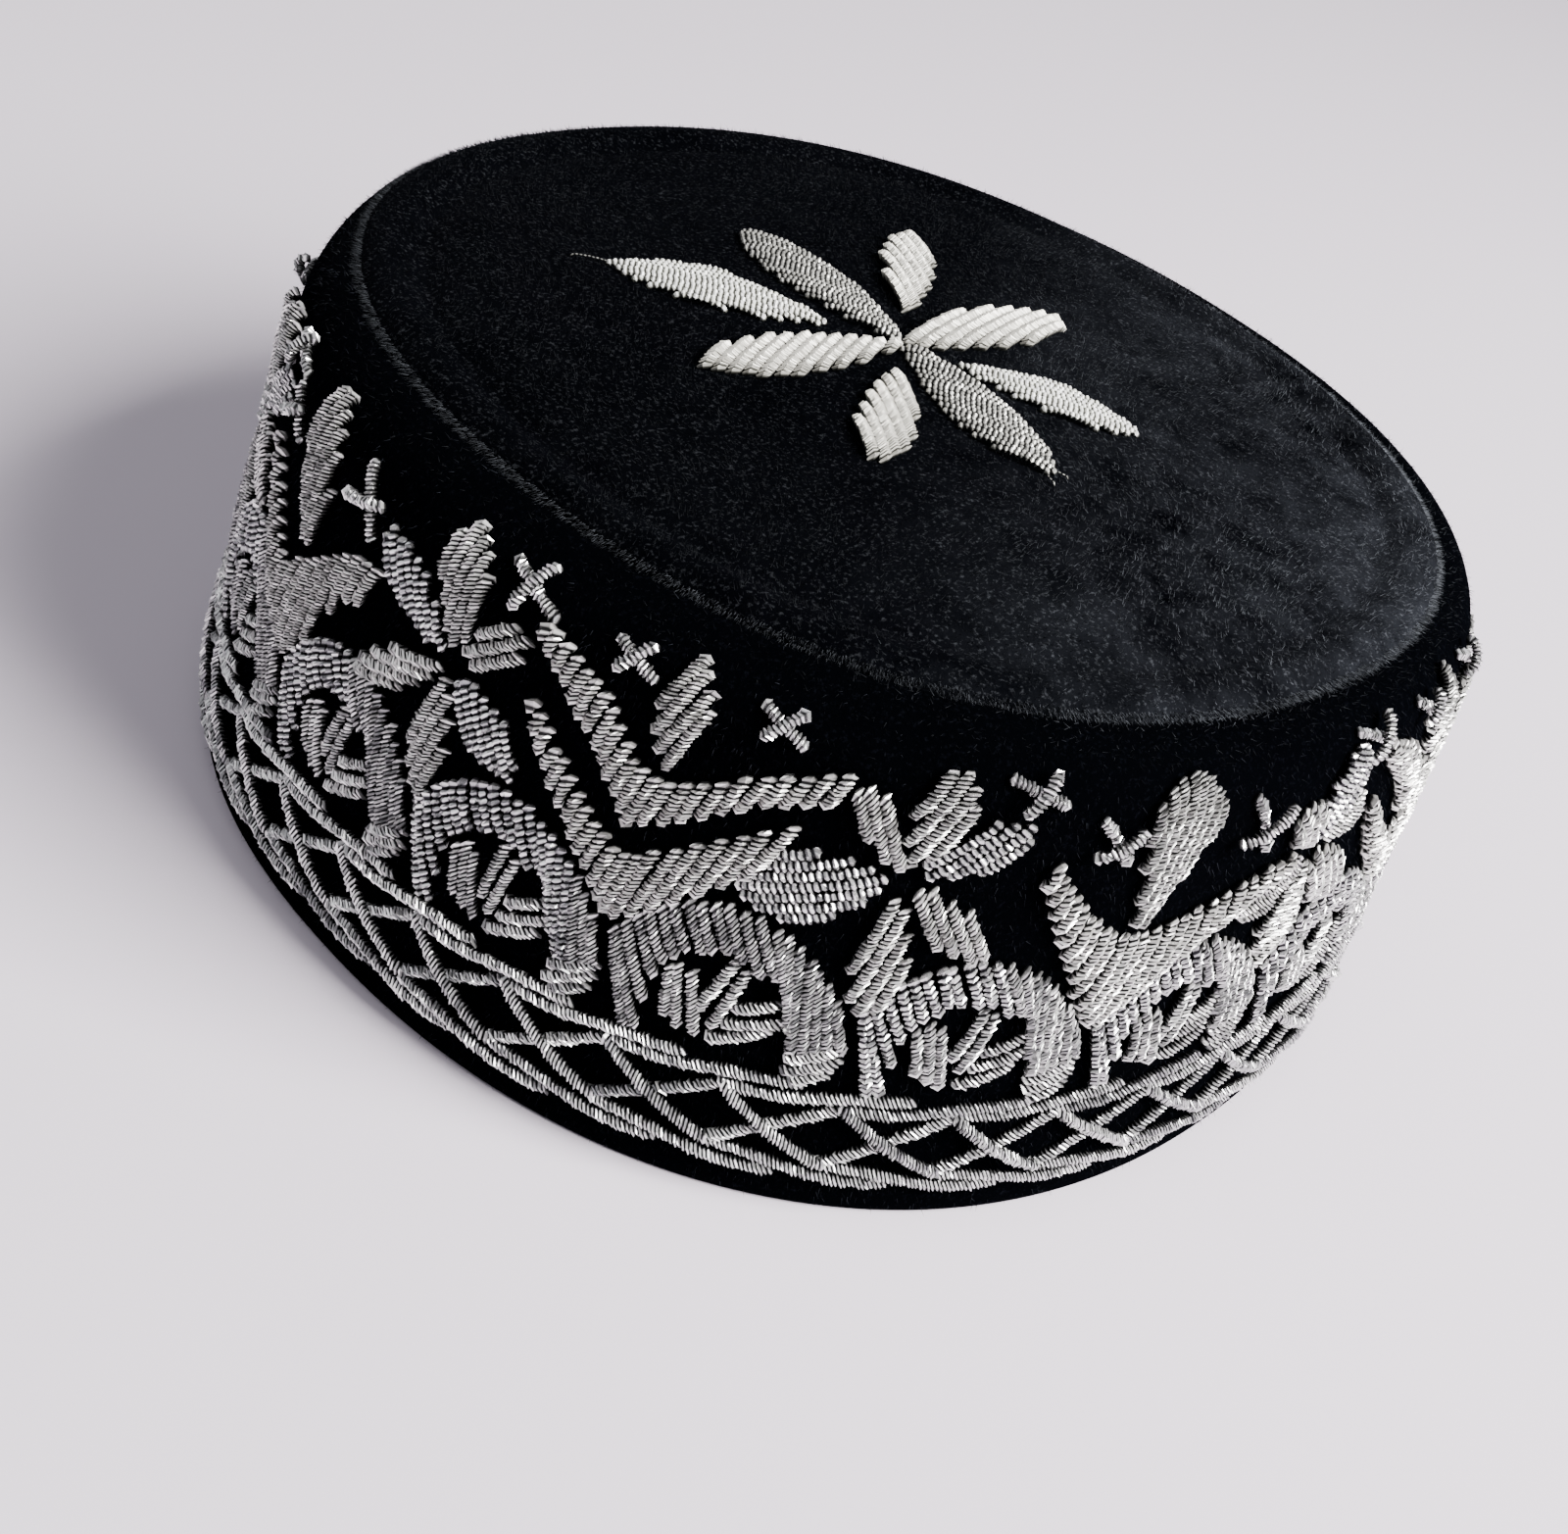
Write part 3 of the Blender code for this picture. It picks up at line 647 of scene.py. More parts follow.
def purl_finish(name, groove_shade, dull, crest, metallic, roughness, glint_from=0.9, glint_roughness=0.2):
    """A finish for purl wire, from its dull lengths to its bright ones, with painted shade in its grooves and painted
    glints.
    """
    material, tree, shader = new_material(name)
    pattern = add_group(tree, coil, {
        "Painted groove shade": (*groove_shade, 1.0), "Dull colour": (*dull, 1.0), "Crest colour": (*crest, 1.0),
        "Glint from": glint_from, "Dull roughness": roughness, "Glint roughness": glint_roughness})
    for label in ("crest", "tone", "glint"):
        layer = tree.nodes.new("ShaderNodeAttribute")
        layer.attribute_name = label
        give(tree, pattern.inputs[label.capitalize()], layer.outputs["Fac"])
    give_inputs(tree, shader, {"Base Color": pattern.outputs["Colour"], "Roughness": pattern.outputs["Roughness"],
                               "Metallic": metallic})
    return material


NET_WIDTH = 1.92 * MM

draw = np.random.default_rng(31)
net_pitch = GIRTH / NET_CROSSINGS
net_lengths = []
for crossing in range(NET_CROSSINGS):
    start = crossing * net_pitch
    jitter = draw.normal(0.0, 0.35, (8, 2)) * CHART
    tones = draw.uniform(0.25, 1.0, 4)
    rising = np.array(((0.0, 9.4), (8.2, 14.6), (16.8, 19.4))) * CHART + (start, 0.0)
    falling = np.array(((0.0, 19.6), (8.0, 14.2), (16.6, 9.2))) * CHART + (start, 0.0)
    low_row = np.array(((0.0, 8.9), (7.0, 8.7), (17.5, 6.7), (26.5, 6.5))) * CHART + (start, 0.0)
    high_row = np.array(((0.0, 19.7), (8.0, 20.0), (17.0, 21.9), (26.5, 22.1))) * CHART + (start, 0.0)
    # The falling length lies over the rising one where they cross
    for line, nudge, lift, arch, width, tone in (
            (rising, jitter[0:3], 0.85, 0.1, NET_WIDTH, tones[0]),
            (falling, jitter[3:6], 1.3, 0.7, NET_WIDTH, tones[1]),
            (low_row, jitter[6], 1.0, 0.35, PURL_WIDTH, tones[2]),
            (high_row, jitter[7], 1.0, 0.35, PURL_WIDTH, tones[3])):
        net_lengths.append(cut_purl(line + nudge * 0.5, lift=lift * MM, arch=arch * MM, width=width, tone=tone))
net_purl = sew_down("net_purl", net_lengths, on_side, 32, purl_finish(
    "net purl", (0.012, 0.012, 0.014), (0.30, 0.30, 0.31), (0.97, 0.97, 0.95), 0.82, 0.30, 0.84))
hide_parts("lower_braid", "upper_braid")


# ----------------------------------------
# The chevrons: V bars of purl laid side by side over string padding, so that they stand
# up from the velvet. Two stacked bars and one broad bar go by turns round the side.

REPEATS = 9
FIRST_CHEVRON = 0.15
LAID_APART = 1.84 * MM


def middle_of(place):
    """Where a place of the pattern is, in metres round the side; chevrons are at whole numbers."""
    return (place + FIRST_CHEVRON) / REPEATS * GIRTH


# Top and bottom edges of each bar in chart squares: across from its middle, up from the hem
CHEVRON_EDGES = {
    "upper": (((-21.8, 72), (-15.8, 69.6), (-9.8, 66.8), (-5.8, 62.8), (-2.8, 59.6), (1.2, 59.4), (6.2, 61.6),
               (11.2, 64.6), (16.2, 67), (24, 70.2)),
              ((-21.8, 69), (-17.8, 65.6), (-11.8, 61), (-7.8, 57), (-3.8, 52.6), (-2.1, 50.8), (2.2, 53.6),
               (8.2, 58), (14.2, 61.6), (24, 65.8))),
    "lower": (((-20.6, 61.5), (-15.8, 57.6), (-11.8, 54), (-6.8, 50), (-2.8, 47.2), (1.2, 48), (4.2, 50.6),
               (8.2, 53.6), (13.2, 56.8), (20.7, 62)),
              ((-20.6, 59.2), (-17.8, 55), (-12.8, 49.2), (-7.8, 44), (-3.8, 39.6), (-1, 36.8), (2.2, 39.2),
               (5.2, 42), (10.2, 47), (15.2, 51.2), (20.7, 57))),
    "short": (((-20, 61.4), (-16.5, 57.6), (-12.6, 52.8), (-9, 48.4), (-6.2, 46.6), (-3, 50), (3.1, 53.9),
               (6, 56.3), (11.8, 59.8), (18.4, 60.6)),
              ((-20, 59), (-17.4, 53.6), (-14.4, 47.6), (-11.4, 42.6), (-7.4, 38), (-2, 34.7), (1, 37),
               (4, 41), (7.4, 47.4), (11, 51.8), (18.4, 56.4))),
    "broad": (((-15.6, 63.4), (-11.5, 58.6), (-6.5, 54), (-1.5, 51), (2.5, 50.2), (7.5, 51.8), (13.5, 53.8),
               (18.5, 55.5), (24.5, 57.2), (28.8, 58)),
              ((-15.6, 58.5), (-11.5, 52), (-7.5, 45.6), (-4.5, 40.4), (-1.5, 36.2), (0.3, 34.2), (3.5, 37.4),
               (7.5, 41.4), (12.5, 45.8), (18.5, 50.2), (24.5, 53.2), (28.8, 54.8))),
}
SHORT_UNIT = 4                 # the broad bar beside the tall flower stops short of it
CHEVRON_LEAN = ((-20, -101), (-6, -103), (0, -104), (6, -107), (12, -110), (24, -114))
PURL_END = 0.35


def toward(heading):
    """The direction of a heading in degrees."""
    return np.array((math.cos(math.radians(heading)), math.sin(math.radians(heading))))


def bar_of_purl(top, bottom, lean, draw):
    """Lengths laid side by side from a bar's top edge down to its bottom edge, in metres."""
    top, bottom, lean = (np.array(table) for table in (top, bottom, lean))
    lengths = []
    across = top[0, 0] + LAID_APART / CHART / 2
    while across < top[-1, 0]:
        ahead = toward(np.interp(across, *lean.T))
        down = np.arange(0.0, 24.0, 0.1)
        xs = across + down * ahead[0]
        ys = np.interp(across, *top.T) + down * ahead[1]
        beyond = np.nonzero(ys < np.interp(xs, *bottom.T))[0]
        last = beyond[0] if len(beyond) else len(down) - 1
        ends = np.array(((xs[0], ys[0]) + ahead * PURL_END, (xs[last], ys[last]) - ahead * PURL_END))
        lengths.append((ends + draw.normal(0.0, 0.16, (2, 2))) * CHART)
        slope = np.interp(across + 0.5, *top.T) - np.interp(across - 0.5, *top.T)
        across += LAID_APART / CHART * draw.uniform(0.95, 1.05) / abs(ahead[1] - slope * ahead[0])
    return lengths


draw = np.random.default_rng(41)
chevron_lengths, chevron_nodes = [], []
for unit in range(REPEATS):
    middle = middle_of(unit)
    kinds = ("upper", "lower") if unit % 2 else ("broad",)
    for kind in kinds:
        chevron_nodes.append(f"chevron_{unit + 1}_{kind}")
        edges = CHEVRON_EDGES["short" if unit == SHORT_UNIT else kind]
        for ends in bar_of_purl(*edges, CHEVRON_LEAN, draw):
            chevron_lengths.append(cut_purl(ends + (middle, 0.0), lift=0.85 * MM, arch=0.75 * MM,
                                            tone=draw.uniform(0.45, 1.0)))
chevron_purl = sew_down("chevron_purl", chevron_lengths, on_side, 42, purl_finish(
    "chevron purl", (0.012, 0.012, 0.012), (0.38, 0.37, 0.355), (0.94, 0.925, 0.895), 0.72, 0.32, 0.88))
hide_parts(*chevron_nodes)


# ----------------------------------------
# The leaves: a few long lengths of purl side by side, standing in each chevron and bent
# over the rim roll, stepped at both ends.

# Each length in chart squares: from (across, up) at its tip to (across, up) at its foot
LEAF_LENGTHS = {
    "double": ((0.3, 77.4, -3, 68.6), (1.7, 75.8, -2.2, 65.6), (2.9, 73.8, -1.2, 63), (3.8, 71, 0.2, 61.2)),
    "broad": ((-2.6, 71.8, -2.2, 65.8), (-1, 74.2, -1, 61), (0.6, 75.8, 0.1, 56), (2.2, 76.6, 1, 51.8),
              (3.8, 76.3, 2.2, 51.8), (5.3, 75.4, 3.6, 54.8), (6.7, 73.8, 5, 59), (7.9, 71.4, 6.5, 64.4)),
}
# One leaf is laid differently: shorter lengths across its own slant, inside this outline
SLANTED_UNIT = 4
SLANTED_OUTLINE = ((-2.3, 52.3), (-5.9, 56.9), (-7.6, 60.5), (-7.9, 65.7), (-7.1, 71), (-5.6, 75.4), (-3.6, 77.6),
                   (-1.2, 73.6), (0.7, 67.4), (1, 60.4), (-0.7, 55.1))
SLANTED_LAY = 76.0
PETAL_SHAPE = ((0, 0.15), (0.15, 0.50), (0.35, 0.85), (0.58, 1), (0.78, 0.82), (0.92, 0.42), (1, 0.05))


def petal_outline(heading, start, reach, half_width):
    """A petal's outline, from its root to its tip and back."""
    along, widths = np.array(PETAL_SHAPE).T
    distance = start + (reach - start) * along
    sides = np.concatenate((np.stack((distance, widths * half_width), axis=-1),
                            np.stack((distance, -widths * half_width), axis=-1)[::-1]))
    cosine, sine = toward(heading)
    return sides @ np.array(((cosine, sine), (-sine, cosine)))


def fill_outline(outline, heading, apart, draw, least=2.2):
    """Parallel lengths across an outline, each cut where it meets the outline."""
    ahead = toward(heading)
    aside = np.array((-ahead[1], ahead[0]))
    offsets = outline @ aside
    lengths = []
    rows = max(1, math.ceil((offsets.max() - offsets.min()) / apart - 0.3))
    spacing = (offsets.max() - offsets.min()) / rows
    for row in range(rows):
        offset = offsets.min() + (row + 0.5) * spacing
        crossings = []
        for first, second in zip(outline, np.roll(outline, -1, 0)):
            before, after = first @ aside - offset, second @ aside - offset
            if (before > 0) != (after > 0):
                crossings.append((first + (second - first) * before / (before - after)) @ ahead)
        crossings.sort()
        for low, high in zip(crossings[::2], crossings[1::2]):
            if high - low > least:
                ends = np.array((ahead * low, ahead * high)) + aside * offset
                lengths.append(ends + ahead * draw.normal(0.0, 0.35, (2, 1)))
    return lengths


draw = np.random.default_rng(51)
leaf_lengths = []
leaf_nodes = [f"leaf_{unit + 1}" for unit in range(REPEATS)]
for unit in range(REPEATS):
    middle = middle_of(unit)
    if unit == SLANTED_UNIT:
        laid = fill_outline(np.array(SLANTED_OUTLINE), SLANTED_LAY, LAID_APART / CHART, draw)
    else:
        laid = [np.reshape(length, (2, 2)) for length in LEAF_LENGTHS["double" if unit % 2 else "broad"]]
    for ends in laid:
        ends = (ends + draw.normal(0.0, 0.15, (2, 2))) * CHART
        tone = draw.uniform(0.3, 0.95) * (1.0 if unit % 2 or unit == SLANTED_UNIT else 0.5)
        leaf_lengths.append(cut_purl(ends + (middle, 0.0), lift=0.8 * MM, arch=0.6 * MM, tone=tone))
leaf_purl = sew_down("leaf_purl", leaf_lengths, on_side, 52, purl_finish(
    "leaf purl", (0.012, 0.012, 0.012), (0.28, 0.28, 0.27), (0.90, 0.89, 0.86), 0.78, 0.33, 0.92))
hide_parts(*leaf_nodes)


# ----------------------------------------
# The arches: broad bands of slanted lengths of purl that stand on the net's upper row, each
# with a small sprig inside. Some are partly of check purl, whose faceted wire sparkles.

ARCH_OUTER = ((-13, 22.8), (-16.8, 25.5), (-17.5, 31), (-16.4, 36.2), (-13.4, 40.5), (-9.2, 44), (-3.6, 46),
              (1.5, 45.8), (3.2, 45.2))
ARCH_INNER = ((-8.6, 23.2), (-10.2, 27.5), (-10.4, 31.5), (-9.2, 35.2), (-6.3, 38), (-2.8, 39.6), (1.2, 39.4),
              (4.6, 37.2), (6.6, 35.4))
ARCH_LEAN = ((0, -72), (0.3, -64), (0.6, -60), (1, -60))
# Its right leg is a few long lengths side by side, with short ones across their feet
ARCH_LEG = ((3.6, 45, 8.4, 34.4), (5.4, 44.3, 9.4, 30.4), (7.2, 43.2, 10.8, 27.4), (9, 41.9, 12.4, 26.6),
            (10.8, 40.3, 14, 27), (12.5, 38.5, 15.5, 28), (14.1, 36, 16.8, 29.2), (17, 29.4, 10.6, 25.8),
            (17.2, 27.6, 10.4, 24), (16.6, 25.6, 12, 22.6))
SPRIG_LENGTHS = ((-6.6, 26.8, -8.2, 34), (-4.4, 25.8, -6.8, 35.2), (-2.5, 25.2, -5, 34.6),
                 (-2.3, 29.5, 0, 38.4), (-0.6, 27.6, 1.9, 37.6), (1.9, 31, 7.6, 34.2), (1, 28.3, 8.2, 31.6),
                 (-0.2, 25.2, 7.4, 29))
SPRIG_WIDTH = 1.8 * MM
ARCH_APART = 1.80 * MM
CHECK_SHARES = (0.45, 0.7, 0.0, 0.5)     # how much of each arch is of check purl, by turns
CHECK_APART = 1.50 * MM
CHECK_WIDTH = 1.62 * MM
CHECK_PITCH = 0.90 * MM
CHECK_SLANT = 0.15


def evenly(points, count):
    """A polyline cut into even steps."""
    points = np.array(points)
    reach = reach_of(points)
    return points_at(np.linspace(0.0, reach[-1], count), reach, points)


def within(points, outline):
    """Which points lie inside a closed outline."""
    x, y = points[:, 0, None], points[:, 1, None]
    x0, y0 = outline[:, 0][None], outline[:, 1][None]
    x1, y1 = np.roll(outline, -1, 0)[:, 0][None], np.roll(outline, -1, 0)[:, 1][None]
    rise = np.where(np.abs(y1 - y0) < 1e-9, 1e-9, y1 - y0)
    crosses = ((y0 > y) != (y1 > y)) & (x < (x1 - x0) * (y - y0) / rise + x0)
    return crosses.sum(1) % 2 == 1


def band_of_purl(outer, inner, lean, apart, draw):
    """Slanted lengths laid along a curved band, each cut where it meets the band's edges, in chart squares."""
    outer, inner = evenly(outer, 160), evenly(inner, 160)
    outline = np.concatenate((outer, inner[::-1]))
    middle = (outer + inner) / 2
    lengths, gone = [], apart / 2
    for number in range(1, len(middle)):
        share = number / (len(middle) - 1)
        ahead = toward(np.interp(share, *np.array(lean).T))
        moved = middle[number] - middle[number - 1]
        gone += abs(moved[0] * ahead[1] - moved[1] * ahead[0])
        if gone < apart:
            continue
        gone -= apart
        reach = np.arange(0.0, 16.0, 0.2)
        back = within(middle[number] - reach[:, None] * ahead, outline)
        forth = within(middle[number] + reach[:, None] * ahead, outline)
        first = reach[np.argmin(back)] if not back.all() else reach[-1]
        last = reach[np.argmin(forth)] if not forth.all() else reach[-1]
        if first + last < 2.0:
            continue
        ends = np.array((middle[number] - ahead * first, middle[number] + ahead * last))
        lengths.append(ends + draw.normal(0.0, 0.15, (2, 2)))
    return lengths


draw = np.random.default_rng(61)
arch_lengths, check_lengths = [], []
arch_nodes = [f"arch_{number + 1}" for number in range(2 * REPEATS)]
for number in range(2 * REPEATS):
    middle = middle_of(number / 2 + 0.25)
    laid = band_of_purl(ARCH_OUTER, ARCH_INNER, ARCH_LEAN, ARCH_APART / CHART, draw)
    laid += [np.reshape(ends, (2, 2)) + draw.normal(0.0, 0.15, (2, 2)) for ends in ARCH_LEG]
    check_share = CHECK_SHARES[number % 4]
    for order, ends in enumerate(laid):
        check = order / len(laid) < check_share
        length = cut_purl(ends * CHART + (middle, 0.0), lift=0.85 * MM, arch=0.5 * MM,
                          width=ARCH_APART if check else PURL_WIDTH, pitch=CHECK_PITCH if check else PURL_PITCH,
                          tone=draw.uniform(0.2, 0.9))
        (check_lengths if check else arch_lengths).append(length)
    for low_x, low_y, high_x, high_y in SPRIG_LENGTHS:
        ends = (np.array(((low_x, low_y), (high_x, high_y))) + draw.normal(0.0, 0.2, (2, 2))) * CHART
        arch_lengths.append(cut_purl(ends + (middle, 0.0), lift=0.7 * MM, arch=0.45 * MM, width=SPRIG_WIDTH,
                                     tone=draw.uniform(0.4, 1.0)))
arch_purl = sew_down("arch_purl", arch_lengths, on_side, 62, purl_finish(
    "arch purl", (0.012, 0.012, 0.013), (0.26, 0.26, 0.265), (0.95, 0.94, 0.92), 0.80, 0.31, 0.88))
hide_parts(*arch_nodes[1::2])
# Check purl is painted with more glints, painted sparkle on top of its faceted wire
arch_check_purl = sew_down("arch_check_purl", check_lengths, on_side, 63, purl_finish(
    "check purl", (0.010, 0.010, 0.012), (0.30, 0.30, 0.31), (0.90, 0.89, 0.88), 0.84, 0.26, 0.74, 0.12), CHECK_SLANT)
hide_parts(*arch_nodes[0::2])


# ----------------------------------------
# The side flowers: six petals round one point, each a few slanted lengths of purl with
# stepped ends. One or two petals of every flower are in sparkling check purl.

FLOWER_MIDDLE = 56.9
# Each petal: heading, reach and half width in chart squares, how far its lengths slant
# from its heading, and whether it is of check purl
FLOWERS = {
    "tall": ((100, 19.9, 4.4, -14, 0), (45, 15.1, 2.9, -8, 0), (-32, 17, 3.8, -22, 1),
             (-92, 21, 3.2, -14, 0), (-147, 20.6, 2.6, -16, 0), (154, 20.6, 3.7, -30, 1)),
    "aslant": ((80, 18.3, 3.8, -12, 0), (36, 18, 3.2, 10, 1), (-36, 17.2, 3, -20, 0),
               (-87, 22.3, 3.5, -14, 0), (-161, 22, 5.4, 2, 1), (129, 15.4, 2.2, -10, 0)),
    "wide": ((74, 18, 4.2, -14, 1), (30, 12.4, 2.9, 14, 0), (-43, 18, 4.1, -16, 0),
             (-96, 19.8, 4.1, -12, 0), (-150, 15.5, 3.3, -14, 0), (128, 11, 3.2, -12, 0)),
}
FLOWER_ORDER = ("tall", "aslant", "wide", "aslant")


draw = np.random.default_rng(71)
flower_lengths, flower_check = [], []
flower_nodes = [f"flower_{unit + 1}" for unit in range(REPEATS)]
for unit in range(REPEATS):
    middle = np.array((middle_of(unit + 0.5), FLOWER_MIDDLE * CHART))
    for heading, reach, half_width, slant, check in FLOWERS[FLOWER_ORDER[unit % 4]]:
        outline = petal_outline(heading, 2.4, reach, half_width)
        for ends in fill_outline(outline, heading + slant, (CHECK_APART if check else LAID_APART) / CHART, draw):
            width, pitch = (CHECK_WIDTH, CHECK_PITCH) if check else (PURL_WIDTH, PURL_PITCH)
            length = cut_purl(ends * CHART + middle, arch=0.6 * MM, width=width, pitch=pitch,
                              tone=draw.uniform(0.35, 1.0))
            (flower_check if check else flower_lengths).append(length)
flower_purl = sew_down("flower_purl", flower_lengths, on_side, 72, purl_finish(
    "flower purl", (0.012, 0.012, 0.012), (0.32, 0.32, 0.31), (0.97, 0.96, 0.93), 0.76, 0.33, 0.90))
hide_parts(*flower_nodes)
flower_check_purl = sew_down("flower_check_purl", flower_check, on_side, 73, bpy.data.materials["check purl"],
                             CHECK_SLANT)


# ----------------------------------------
# The small crosses: two short lengths of bright check purl, one over the other, scattered
# beside the flowers and inside the chevrons.

# In chart squares from the chevron's middle: across and up of the cross, its half length
# and how far it is turned
CROSSES = {
    "double": ((-25.4, 74, 5.2, -22), (-8, 73.2, 3.8, -32), (13.2, 73.4, 3.9, -34)),
    "broad": ((-20.8, 73, 4.5, -22), (-7.4, 65.8, 4.6, -50), (18.6, 65.6, 6.2, -50)),
    "slanted": ((-21, 73, 4.5, -22), (-15.5, 66, 4.2, -50), (10.3, 67.6, 5.6, -58)),
}

SEEN_UNITS = (3, 4, 5, 6, 7)
FAR_CROSS_TOP = 62.0

draw = np.random.default_rng(81)
cross_lengths = []
for unit in range(REPEATS):
    middle = middle_of(unit)
    kind = "slanted" if unit == SLANTED_UNIT else "double" if unit % 2 else "broad"
    for across, up, half, turned_by in CROSSES[kind]:
        up = up if unit in SEEN_UNITS else min(up, FAR_CROSS_TOP)
        for over, extra in ((0, 0.0), (1, 82.0)):
            ahead = toward(turned_by + extra + draw.normal(0.0, 4.0)) * half * (1.0 - 0.22 * over)
            spot = np.array((across, up))
            ends = np.array((spot - ahead, spot + ahead)) * CHART + (middle, 0.0)
            cross_lengths.append(cut_purl(ends, lift=(0.6 + 0.9 * over) * MM, arch=(0.1 + 0.8 * over) * MM,
                                          width=1.8 * MM, tone=draw.uniform(0.5, 1.0)))
cross_purl = sew_down("cross_purl", cross_lengths, on_side, 82, purl_finish(
    "cross purl", (0.06, 0.06, 0.06), (0.50, 0.50, 0.50), (0.88, 0.87, 0.86), 0.92, 0.28, 0.72, 0.12), CHECK_SLANT)


# ----------------------------------------
# The crown flower: eight long petals of finer purl, four meeting in the middle and four
# between them. Two are of bright check purl and two of a grey purl laid like weaving, and
# tails of thread are left at two tips.

CROWN_FLOWER_X = -3.6 * MM
CROWN_FLOWER_Y = 5.2 * MM
# Each petal: heading, root and tip from the middle and half width in millimetres, and how
# far its lengths slant from its heading
CROWN_PETALS = {
    "ribbed": ((0, 1, 38.8, 5.4, 15), (170, 1, 36.4, 4.8, -327), (42.5, 12.2, 47.6, 4.2, 17),
               (-141, 9.6, 36, 4.3, 20)),
    "woven": ((87, 1, 38.8, 6.4, 31), (-95, 1, 34, 6.2, 31)),
    "bright": ((130, 12.2, 45.4, 6, 0), (-53, 9.6, 38, 4.6, 3)),
}
# Each finish: painted groove shade, dull and crest colours, metallic, roughness, where painted glints start and their
# roughness
CROWN_FINISHES = {
    "ribbed": ((0.04, 0.04, 0.034), (0.46, 0.45, 0.405), (0.74, 0.72, 0.65), 0.45, 0.45, 0.97, 0.30),
    "woven": ((0.010, 0.010, 0.009), (0.26, 0.26, 0.24), (0.66, 0.65, 0.60), 0.60, 0.40, 0.90, 0.25),
    "bright": ((0.06, 0.06, 0.05), (0.95, 0.97, 0.87), (1.0, 1.0, 0.95), 0.05, 0.28, 0.60, 0.16),
}
# How wide the purl is, how far its windings and its rows are apart, how its windings
# slant and how uneven they are
CROWN_PURL = {
    "ribbed": (2.02 * MM, 0.46 * MM, 1.92 * MM, COIL_SLANT, 0.4),
    "woven": (1.05 * MM, 0.84 * MM, 1.12 * MM, CHECK_SLANT, 0.8),
    "bright": (1.12 * MM, 0.84 * MM, 1.10 * MM, CHECK_SLANT, 1.0),
}
# Tails of thread, sewn down flat, as points in millimetres from the flower's middle
CROWN_TAILS = (((-29, 34.6), (-31.2, 37), (-33.4, 39)), ((-3.2, -33.4), (-4.6, -34.8), (-4.6, -36.2)),
               ((-2.6, -33.2), (-1.7, -34.4), (-1, -35.8)))
TAIL_WIDTH = 0.26 * MM
CROWN_REPLACED = {
    "ribbed": ("crown_petal_2", "crown_petal_4"),
    "woven": ("crown_star",),
    "bright": ("crown_petal_1", "crown_petal_3"),
}

draw = np.random.default_rng(91)
crown_middle = np.array((CROWN_FLOWER_X, CROWN_FLOWER_Y))
for kind, petals in CROWN_PETALS.items():
    lengths = []
    width, pitch, apart, slant_of_coil, uneven = CROWN_PURL[kind]
    for heading, start, reach, half_width, slant in petals:
        outline = petal_outline(heading, start, reach, half_width)
        for ends in fill_outline(outline, heading + slant, apart / MM, draw):
            ends = ends * MM + crown_middle
            lengths.append(cut_purl(ends, lift=0.65 * MM, arch=0.6 * MM, width=width, pitch=pitch,
                                    tone=draw.uniform(0.45, 1.0)))
    if kind == "woven":
        for tail in CROWN_TAILS:
            lengths.append(cut_purl(np.array(tail) * MM + crown_middle, lift=0.55 * MM, arch=0.1 * MM,
                                    width=TAIL_WIDTH, tone=0.0))
    finish = purl_finish(f"crown {kind} purl", *CROWN_FINISHES[kind])
    crown_purl = sew_down(f"crown_{kind}_purl", lengths, on_crown, 92, finish, slant_of_coil, uneven)
    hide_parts(*CROWN_REPLACED[kind])


# ----------------------------------------
# The setting: a plain pale floor, soft studio light that comes mostly from the right, and
# the camera above one long corner of the cap, turned a little as it was held by hand.

FLOOR_SIZE = 6.0
CAMERA_AZIMUTH = -54.6
CAMERA_ELEVATION = 35.9
CAMERA_ROLL = 19.0
CAMERA_DISTANCE = 0.3011
CAMERA_LENS = 48.87
CAMERA_AIM = (-0.0448, -0.0286, 0.0376)

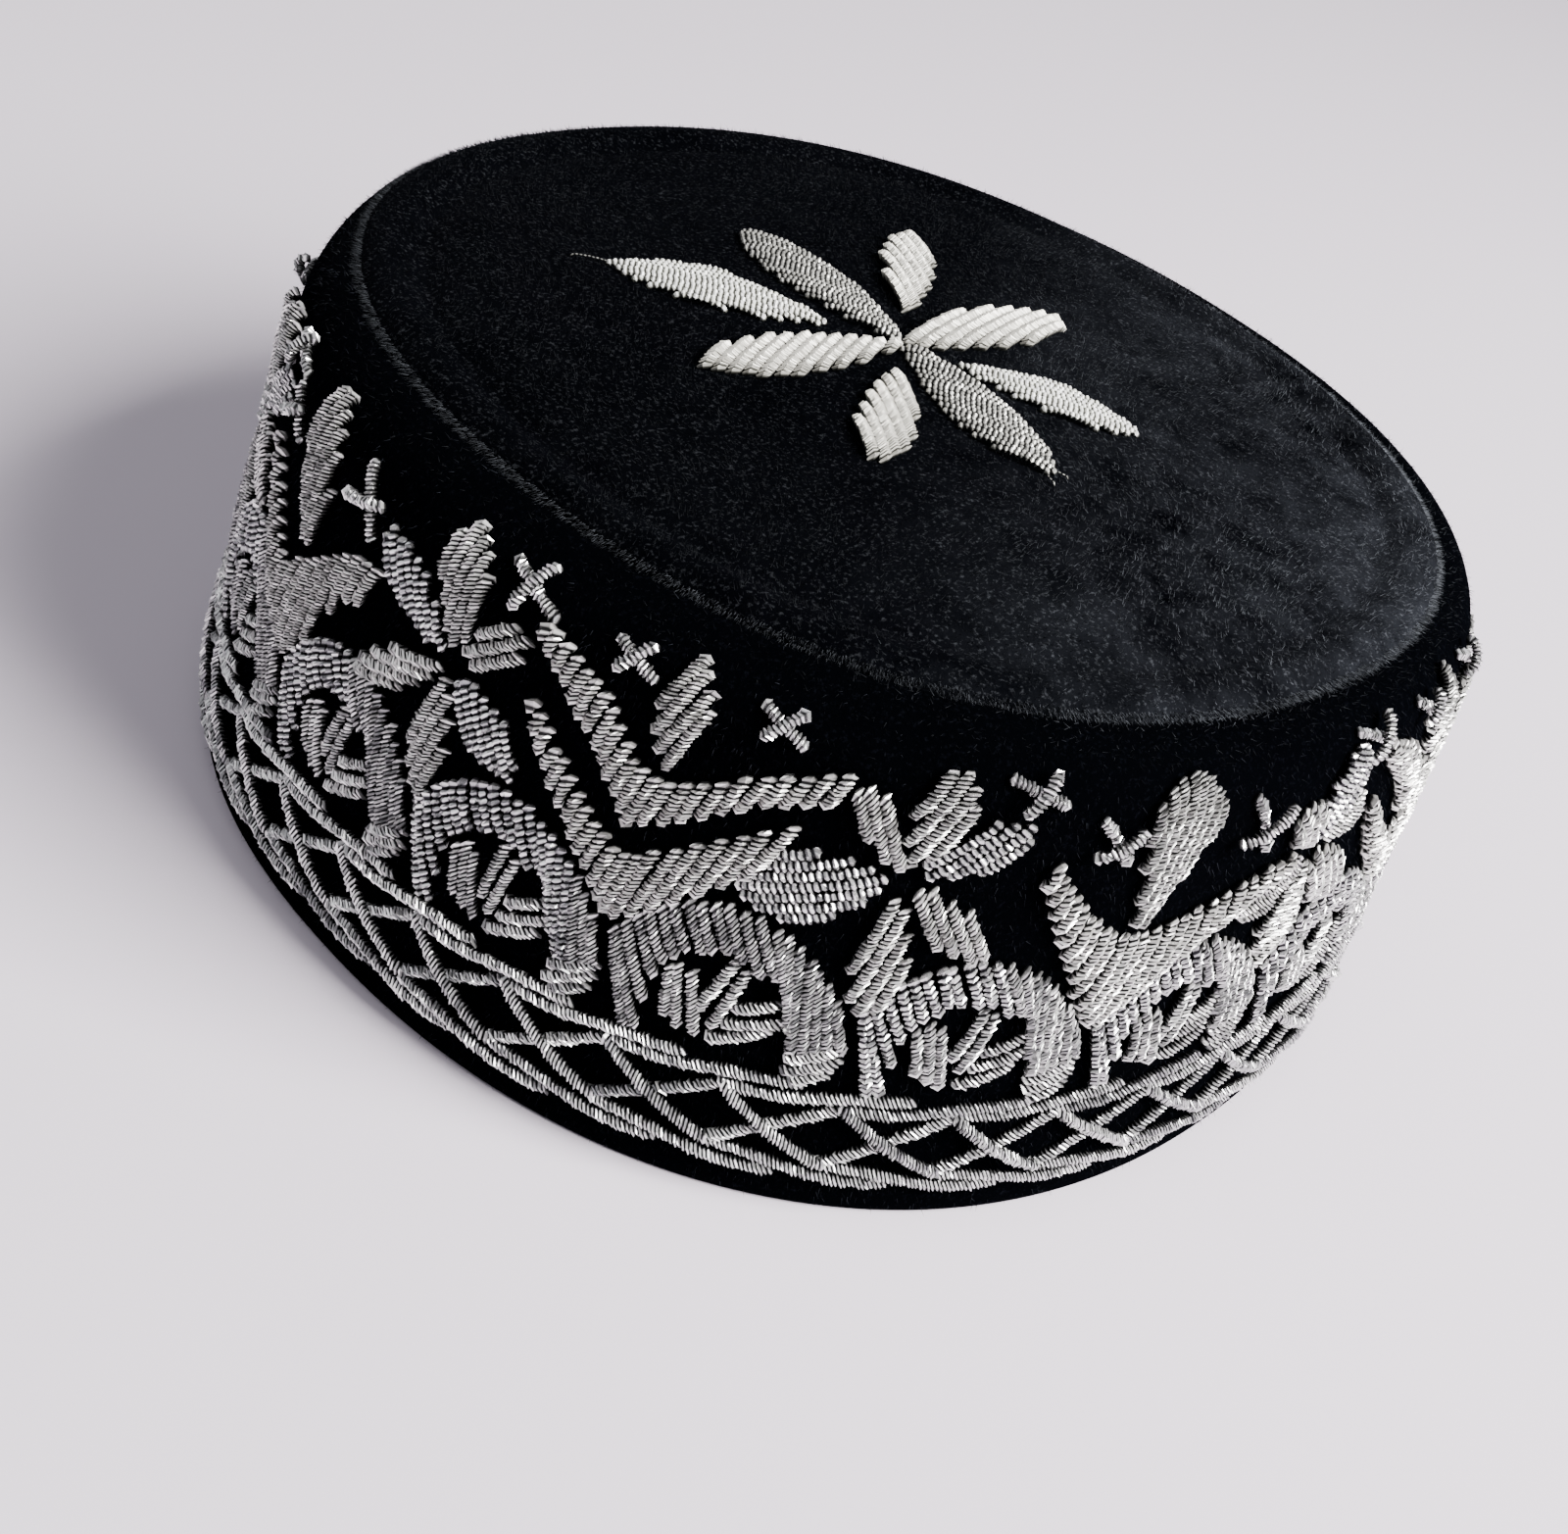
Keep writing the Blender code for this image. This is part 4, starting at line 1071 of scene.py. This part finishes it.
floor_shape = bmesh.new()
bmesh.ops.create_grid(floor_shape, x_segments=1, y_segments=1, size=FLOOR_SIZE / 2)
floor = add_object("floor", mesh_of("floor", floor_shape))
floor_finish, floor_tree, floor_shader = new_material("pale floor")
give_inputs(floor_tree, floor_shader, {"Base Color": (0.75, 0.68, 0.765, 1.0), "Roughness": 0.85})
floor.data.materials.append(floor_finish)


def directions(azimuth, elevation):
    """Back, right and up of a view, as vectors."""
    turn, rise = math.radians(azimuth), math.radians(elevation)
    back = np.array((math.sin(turn) * math.cos(rise), -math.cos(turn) * math.cos(rise), math.sin(rise)))
    right = np.array((math.cos(turn), math.sin(turn), 0.0))
    return back, right, np.cross(back, right)


def standing(right, above, back, place):
    """The matrix of a thing at a place that looks away from back."""
    return Matrix(np.vstack((np.column_stack((right, above, back, place)), (0.0, 0.0, 0.0, 1.0))).tolist())


def add_light(name, azimuth, elevation, distance, size, power, colour):
    """A square soft light that faces the cap."""
    back, right, above = directions(azimuth, elevation)
    lamp = bpy.data.lights.new(name, "AREA")
    lamp.shape = "SQUARE"
    lamp.size = size
    lamp.energy = power
    lamp.color = colour
    add_object(name, lamp).matrix_world = standing(right, above, back, back * distance)


add_light("window", 18.0, 42.0, 1.4, 0.8, 82.0, (1.0, 0.985, 0.975))
add_light("room", -100.0, 62.0, 1.8, 1.6, 9.0, (0.95, 0.95, 1.0))

world = bpy.data.worlds.new("soft room")
world.use_nodes = True
give_inputs(world.node_tree, world.node_tree.nodes["Background"], {
    "Color": (0.90, 0.91, 0.97, 1.0), "Strength": 0.24})
bpy.context.scene.world = world

camera_back, level_right, level_up = directions(CAMERA_AZIMUTH, CAMERA_ELEVATION)
roll = math.radians(CAMERA_ROLL)
camera_right = level_right * math.cos(roll) + level_up * math.sin(roll)
camera_up = -level_right * math.sin(roll) + level_up * math.cos(roll)
camera_data = bpy.data.cameras.new("camera")
camera_data.lens = CAMERA_LENS
camera_data.sensor_width = 36.0
camera_data.clip_start = 0.01
camera = add_object("camera", camera_data)
camera_place = np.array(CAMERA_AIM) + camera_back * CAMERA_DISTANCE
camera.matrix_world = standing(camera_right, camera_up, camera_back, camera_place)
bpy.context.scene.camera = camera
